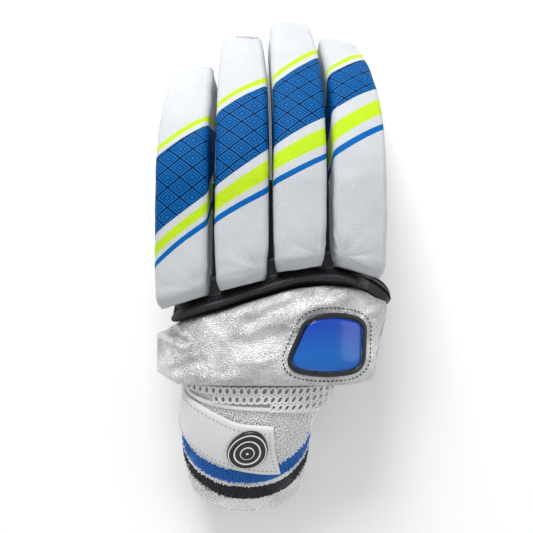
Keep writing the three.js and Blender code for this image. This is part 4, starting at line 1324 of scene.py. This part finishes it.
# The wristband is a tube of white terry knit with a blue and a black stripe and a plain hem,
# open where the hand goes in.
wrist_length = 66
wrist_width = 76
wrist_height = 54
wrist_offset = 15
wrist_squareness = 2.3
rest_flat = 1.2
knit_wall = 3
knit_waves = (18, 0.5)
hem_from = 0.993
loop_reach = 0.8
wrist_rest = wrist_height / 2 * math.cos(math.radians(wrist_tilt)) - rest_flat

wrist_rows = table(
    "at blend fall tilt pinch",
    (0.0, 0.0, 0.0, 0.5, 1.0),
    (0.15, 0.35, 0.1, 0.75, 1.0),
    (0.35, 0.8, 0.32, 0.95, 1.0),
    (0.6, 1.0, 0.62, 1.0, 1.01),
    (0.85, 1.0, 0.89, 1.0, 0.97),
    (1.0, 1.0, 1.0, 1.0, 0.9),
)


def wrist_section(at):
    """The wristband's oval section at a share of the way from the palm to its hem."""
    end = palm_section(1)
    blend = float(read(wrist_rows, "blend", at))
    return {
        "x": mix(end["x"], -wrist_offset, blend),
        "y": end["y"] - seat_gap - at * wrist_length,
        "z": mix(palm_middle, wrist_rest, float(read(wrist_rows, "fall", at))),
        "half_width": (mix(end["half_width"], wrist_width / 2, blend)
                       * float(read(wrist_rows, "pinch", at))),
        "half_height": mix(end["half_height"], wrist_height / 2, blend),
        "tilt": math.radians(float(read(wrist_rows, "tilt", at)) * wrist_tilt),
        "squareness": mix(palm_squareness, wrist_squareness, min(1, blend)),
        "arch": 0,
    }


def knit(name, shade, bumps):
    """Knit in its three stripes, with each colour times a shade: a shade below 1 paints the knit darker,
    as the shade between its loops.
    """
    material, tree, shader = start_material(name, Roughness=0.9, Sheen_Weight=0.3)
    place = wire(tree, "ShaderNodeTexCoord").outputs["Object"]
    across_it = wire(tree, "ShaderNodeAttribute", attribute_name="stripe").outputs["Fac"]
    white, blue, black = (tuple(shade * part for part in colour) for colour in (
        (0.88, 0.89, 0.9), (0.002, 0.17, 0.6), (0.008, 0.011, 0.018)))
    stripes = stepped(tree, across_it, (
        (0.0, white), (0.605, blue), (0.73, white), (0.768, black), (0.885, white)))
    tufts = wire(tree, "ShaderNodeTexVoronoi", {"Vector": place, "Scale": 1100.0})
    bump = bumped(tree, tufts.outputs["Distance"], bumps, 0.0006, invert=True)
    paint(tree, shader, stripes, bump=bump)
    return material


def on_wrist(at, degrees, outwards):
    """A point out of the knit, at a share along it and an angle round it (90 is its back)."""
    section = wrist_section(at)
    angle = np.radians(degrees)
    return section_points(section, squared(np.cos(angle), section["squareness"]),
                          squared(np.sin(angle), section["squareness"]), outwards)


def note_stripes(mesh, shares, degrees):
    """Keeps on the knit where its stripes run: they sag towards the hem on the back of the wrist."""
    sag = 0.16 * np.clip(1 - np.sin(np.radians(degrees)), 0, 1) ** 0.8
    note(mesh, "stripe", shares + sag)


band_stations = np.linspace(0, 1, 80)
band_sides = 130
band_turns = 360 * np.arange(band_sides) / band_sides
band = leather_tube("band", wrist_section, band_stations, knit_wall, band_sides, knit_waves, 9)
round_and_back = np.concatenate([band_stations, band_stations[::-1]])[:, None]
note_stripes(band.data, round_and_back + 0 * band_turns, band_turns + 0 * round_and_back)
# The knit under the loops is painted darker, times 0.85, as the shade between the loops and in the net's
# holes.
band.data.materials.append(knit("knit_ground_painted_shade", 0.85, 0.9))
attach(band, "root")
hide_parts("wristband")


def make_terry():
    """Loops of yarn strewn over a knit, each turned its own way."""
    tree, given, out = node_tree("terry", ("Spacing", "NodeSocketFloat"),
                                 ("Shape", "NodeSocketObject"), ("Material", "NodeSocketMaterial"))
    strewn = wire(tree, "GeometryNodeDistributePointsOnFaces",
                  {"Mesh": given["Geometry"], "Distance Min": given["Spacing"],
                   "Density Max": 3e6, "Seed": 4}, distribute_method="POISSON")
    draw = wire(tree, "FunctionNodeRandomValue", {"Max": (0.5, 0.5, 6.28), "Min": (-0.5, -0.5, 0.0),
                                                  "Seed": 5}, data_type="FLOAT_VECTOR")
    turned = wire(tree, "FunctionNodeEulerToRotation", {0: draw.outputs[0]})
    lie = wire(tree, "FunctionNodeRotateRotation",
               {"Rotation": strewn.outputs["Rotation"], "Rotate By": turned.outputs[0]},
               rotation_space="LOCAL")
    grow = wire(tree, "FunctionNodeRandomValue", {2: 0.8, 3: 1.25, "Seed": 6}, data_type="FLOAT")
    return end_in_copies(tree, given, out, Points=strewn.outputs["Points"],
                         Rotation=lie.outputs[0], Scale=grow.outputs[1])


mesh_edges = (0.2, 0.06)
mesh_turns = (6, 168)
terry_from = np.interp(band_turns, (0, *mesh_turns, 190, 360), (0.02, *mesh_edges, 0.02, 0.02))
ground_at = np.array([mix(terry_from, hem_from, share) for share in np.linspace(0, 1, 56)])
ground = np.array([[on_wrist(at, turn, 0.1) for at, turn in zip(row, band_turns)]
                   for row in ground_at])
ground[..., 2] = np.maximum(ground[..., 2], loop_reach)
ground_mesh = plain_mesh("terry", np.reshape(ground, (-1, 3)), faces=[
    (low + side, low + (side + 1) % band_sides, low + band_sides + (side + 1) % band_sides,
     low + band_sides + side)
    for low in range(0, (len(ground_at) - 1) * band_sides, band_sides) for side in range(band_sides)])
note_stripes(ground_mesh, ground_at, band_turns + 0 * ground_at)
tuft = small_shape("tuft", bead(1.5, 0.85, 1.1, sides=5, steps=3))
terry = settle(finished("terry", ground_mesh), make_terry(), Spacing=0.00112, Shape=tuft,
               Material=knit("knit_loops", 1.0, 0.3))
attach(terry, "root")


# Between the cuff and the knit lies a strip of white spacer mesh, open in staggered oval holes.
# Its lower edge runs aslant, bound with white tape and sewn to the knit.
mesh_start = 0.004
mesh_thickness = 2
mesh_pitch = 5.1
mesh_row_pitch = 3.3
mesh_rows = 5
mesh_width = 128
sheet_gap = 1.8 * seat_gap


def net_cell(count=16):
    """One cell of the net: a small block with an oval hole, in shares of the pitches."""
    turns = 2 * np.pi * (np.arange(count) + 0.5) / count
    c, s = np.cos(turns), np.sin(turns)
    square = 0.5 / np.maximum(np.abs(c), np.abs(s))
    rim = np.stack([c * square, s * square], -1)
    hole = np.stack([0.27 * c, 0.34 * s], -1)
    lip = mix(hole, rim, 0.35)
    layers = [(rim, 0.0), (rim, 0.8), (lip, 1.0), (hole, 0.8), (hole, 0.0)]
    return [np.concatenate([plan * (mesh_pitch, mesh_row_pitch),
                            np.full((count, 1), height * mesh_thickness)], 1) for plan, height in layers]


def make_net():
    """A shape copied to staggered rows of points."""
    tree, given, out = node_tree("net", ("Shape", "NodeSocketObject"),
                                 ("Material", "NodeSocketMaterial"))
    return end_in_copies(tree, given, out, Points=given["Geometry"])


net_white = leather("net_white", (0.86, 0.87, 0.88), (0.7, 0.71, 0.72), roughness=0.75, pebble=0.0005)
cell = bpy.data.objects.new("cell", solid_mesh("cell", net_cell(), looped=True))
plan = []
for row in range(mesh_rows):
    for column in range(int(mesh_width / mesh_pitch)):
        across = (column + 0.5 + row % 2 / 2) * mesh_pitch
        down = (row + 0.5) * mesh_row_pitch
        edge = mix(mesh_edges[0], mesh_edges[1], across / mesh_width) * wrist_length
        if across < mesh_width - mesh_pitch / 2 and down + 0.3 * mesh_row_pitch < edge:
            plan.append((across, down, 0))
net = settle(put_in_scene("mesh", plain_mesh("mesh", plan)), make_net(), Shape=cell,
             Material=net_white)
even_turns = np.linspace(*mesh_turns, 200)
arc = lengths_along(on_wrist(0.1, even_turns, 1))
laid = np.array([on_wrist(mesh_start + down / wrist_length,
                          np.interp(across / mesh_width, arc / arc[-1], even_turns), sheet_gap + up)
                 for across, down, up in mesh_points(net.data).astype(float)])
place_points(net.data, laid)
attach(net, "root")
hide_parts("mesh_panel")

tape_drop = 0.012
tape_half = 0.013
tape_turns = 2 * np.pi * np.arange(14) / 14
tape_rings = []
for share in np.linspace(0, 1, 120):
    at = mix(*mesh_edges, share) + tape_drop
    tape_rings.append([on_wrist(at + tape_half * math.cos(turn), mix(*mesh_turns, share),
                                sheet_gap + 0.4 + 0.5 * math.sin(turn)) for turn in tape_turns])
tape = skin("mesh_tape", tape_rings)
tape.data.materials.append(net_white)
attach(tape, "root")


# The closing strap comes round the little finger's side of the wrist. It is smooth coated
# white, stitched round its edge, and ends in a slanted tongue that carries a round badge.
strap_thickness = 1.8
strap_slant = 17
strap_turns = (70, 214)
strap_inset = 0.1
strap_ends = (0.022, 0.98)
strap_stitch_pitch = 2.6
strap_rows = table(
    "turn upper lower",
    (70, 0.25, 0.655),
    (90, 0.228, 0.61),
    (110, 0.176, 0.547),
    (135, 0.128, 0.484),
    (160, 0.11, 0.45),
    (214, 0.11, 0.45),
)
disc_radius = 10.8
disc_at = 0.4
disc_lie = 0.86
disc_thickness = 2
disc_sides = 96
disc_ripple = 0.25


def on_strap(u, v, outwards):
    """A point out of the strap's own underside: u runs from its free end, v from its upper edge."""
    turn = mix(*strap_turns, u)
    at = mix(read(strap_rows, "upper", turn, "turn"), read(strap_rows, "lower", turn, "turn"), v)
    return on_wrist(float(at), turn + (0.5 - v) * strap_slant * (1 - u) ** 3, sheet_gap + outwards)


strap_rings = []
for u in np.linspace(0, 1, 110):
    shares = np.linspace(0, 1, 30)
    rise = strap_thickness - 0.45 * np.clip(1 - np.minimum(shares, 1 - shares) * 26 / 0.9, 0, 1) ** 2
    tops = [on_strap(u, v, height) for v, height in zip(shares, rise)]
    lows = [on_strap(u, v, 0) for v in shares[::-1]]
    strap_rings.append(np.array(tops + lows))
strap = skin("strap", strap_rings)
strap_coat = leather("strap_coat", (0.76, 0.77, 0.78), (0.68, 0.69, 0.7), roughness=0.42,
                     pebble=0.0006, strength=0.2)
strap.data.materials.append(strap_coat)
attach(strap, "root")
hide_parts("wrist_strap")

path = [(u, strap_inset) for u in np.linspace(*strap_ends[::-1], 80)]
path += [(strap_ends[0], v) for v in np.linspace(strap_inset, 1 - strap_inset, 24)[1:-1]]
path += [(u, 1 - strap_inset) for u in np.linspace(*strap_ends, 80)]
strap_line = np.array([on_strap(u, v, strap_thickness + 0.05) for u, v in path])
strap_ups = unit(strap_line - np.array([on_strap(u, v, 0) for u, v in path]))
strap_stitch = small_shape("strap_stitch", bead(1.6, 0.55, 0.4))
strap_thread = leather("strap_thread", (0.32, 0.33, 0.35), (0.2, 0.21, 0.22), roughness=0.6,
                       pebble=0.0004, strength=0.3)
strap_stitches = copies_along("strap_stitches", strap_line, strap_ups, strap_stitch_pitch,
                              strap_stitch, strap_thread)
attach(strap_stitches, "root")

disc_rubber, tree, shader = start_material("disc_rubber", Roughness=0.35)
out_share = wire(tree, "ShaderNodeAttribute", attribute_name="out").outputs["Fac"]
ring_greys = ((0.0, 0.75), (0.06, 0.01), (0.3, 0.75), (0.35, 0.01), (0.58, 0.8), (0.65, 0.01),
              (0.87, 0.8), (0.92, 0.01))
rings = stepped(tree, out_share, [(stop, (grey, grey, 1.03 * grey)) for stop, grey in ring_greys])
paint(tree, shader, rings)


def disc_ring(share, outwards):
    """A ring of the disc, which is bent round the wrist with the strap."""
    turns = 2 * np.pi * np.arange(disc_sides) / disc_sides
    points = []
    for turn in turns:
        section = wrist_section(disc_at - share * disc_lie * disc_radius / wrist_length * math.sin(turn))
        c = share * disc_radius * math.cos(turn) / section["half_width"]
        s = oval_height(abs(c), section["squareness"])
        points.append(section_points(section, c, s, sheet_gap + strap_thickness + seat_gap + outwards))
    return np.array(points)


side_steps = [(0.3, 0), (0.7, 0), (1, 0), (1, 1.2), (0.985, 1.6)]
face_steps = [(0.965, 1.85)]
face_steps += [(share, disc_thickness + disc_ripple * math.sin(share * 16) ** 2)
               for share in np.linspace(0.94, 0.02, 48)]
disc = skin("round_badge", [disc_ring(*step) for step in side_steps + face_steps])
ring_shares = [1] * len(side_steps) + [share for share, _ in face_steps]
shares = np.append(np.repeat(ring_shares, disc_sides), [1, 0])
note(disc.data, "out", shares)
disc.data.materials.append(disc_rubber)
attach(disc, "root")
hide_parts("strap_badge")


# The scene is brought up to date.
bpy.context.view_layer.update()
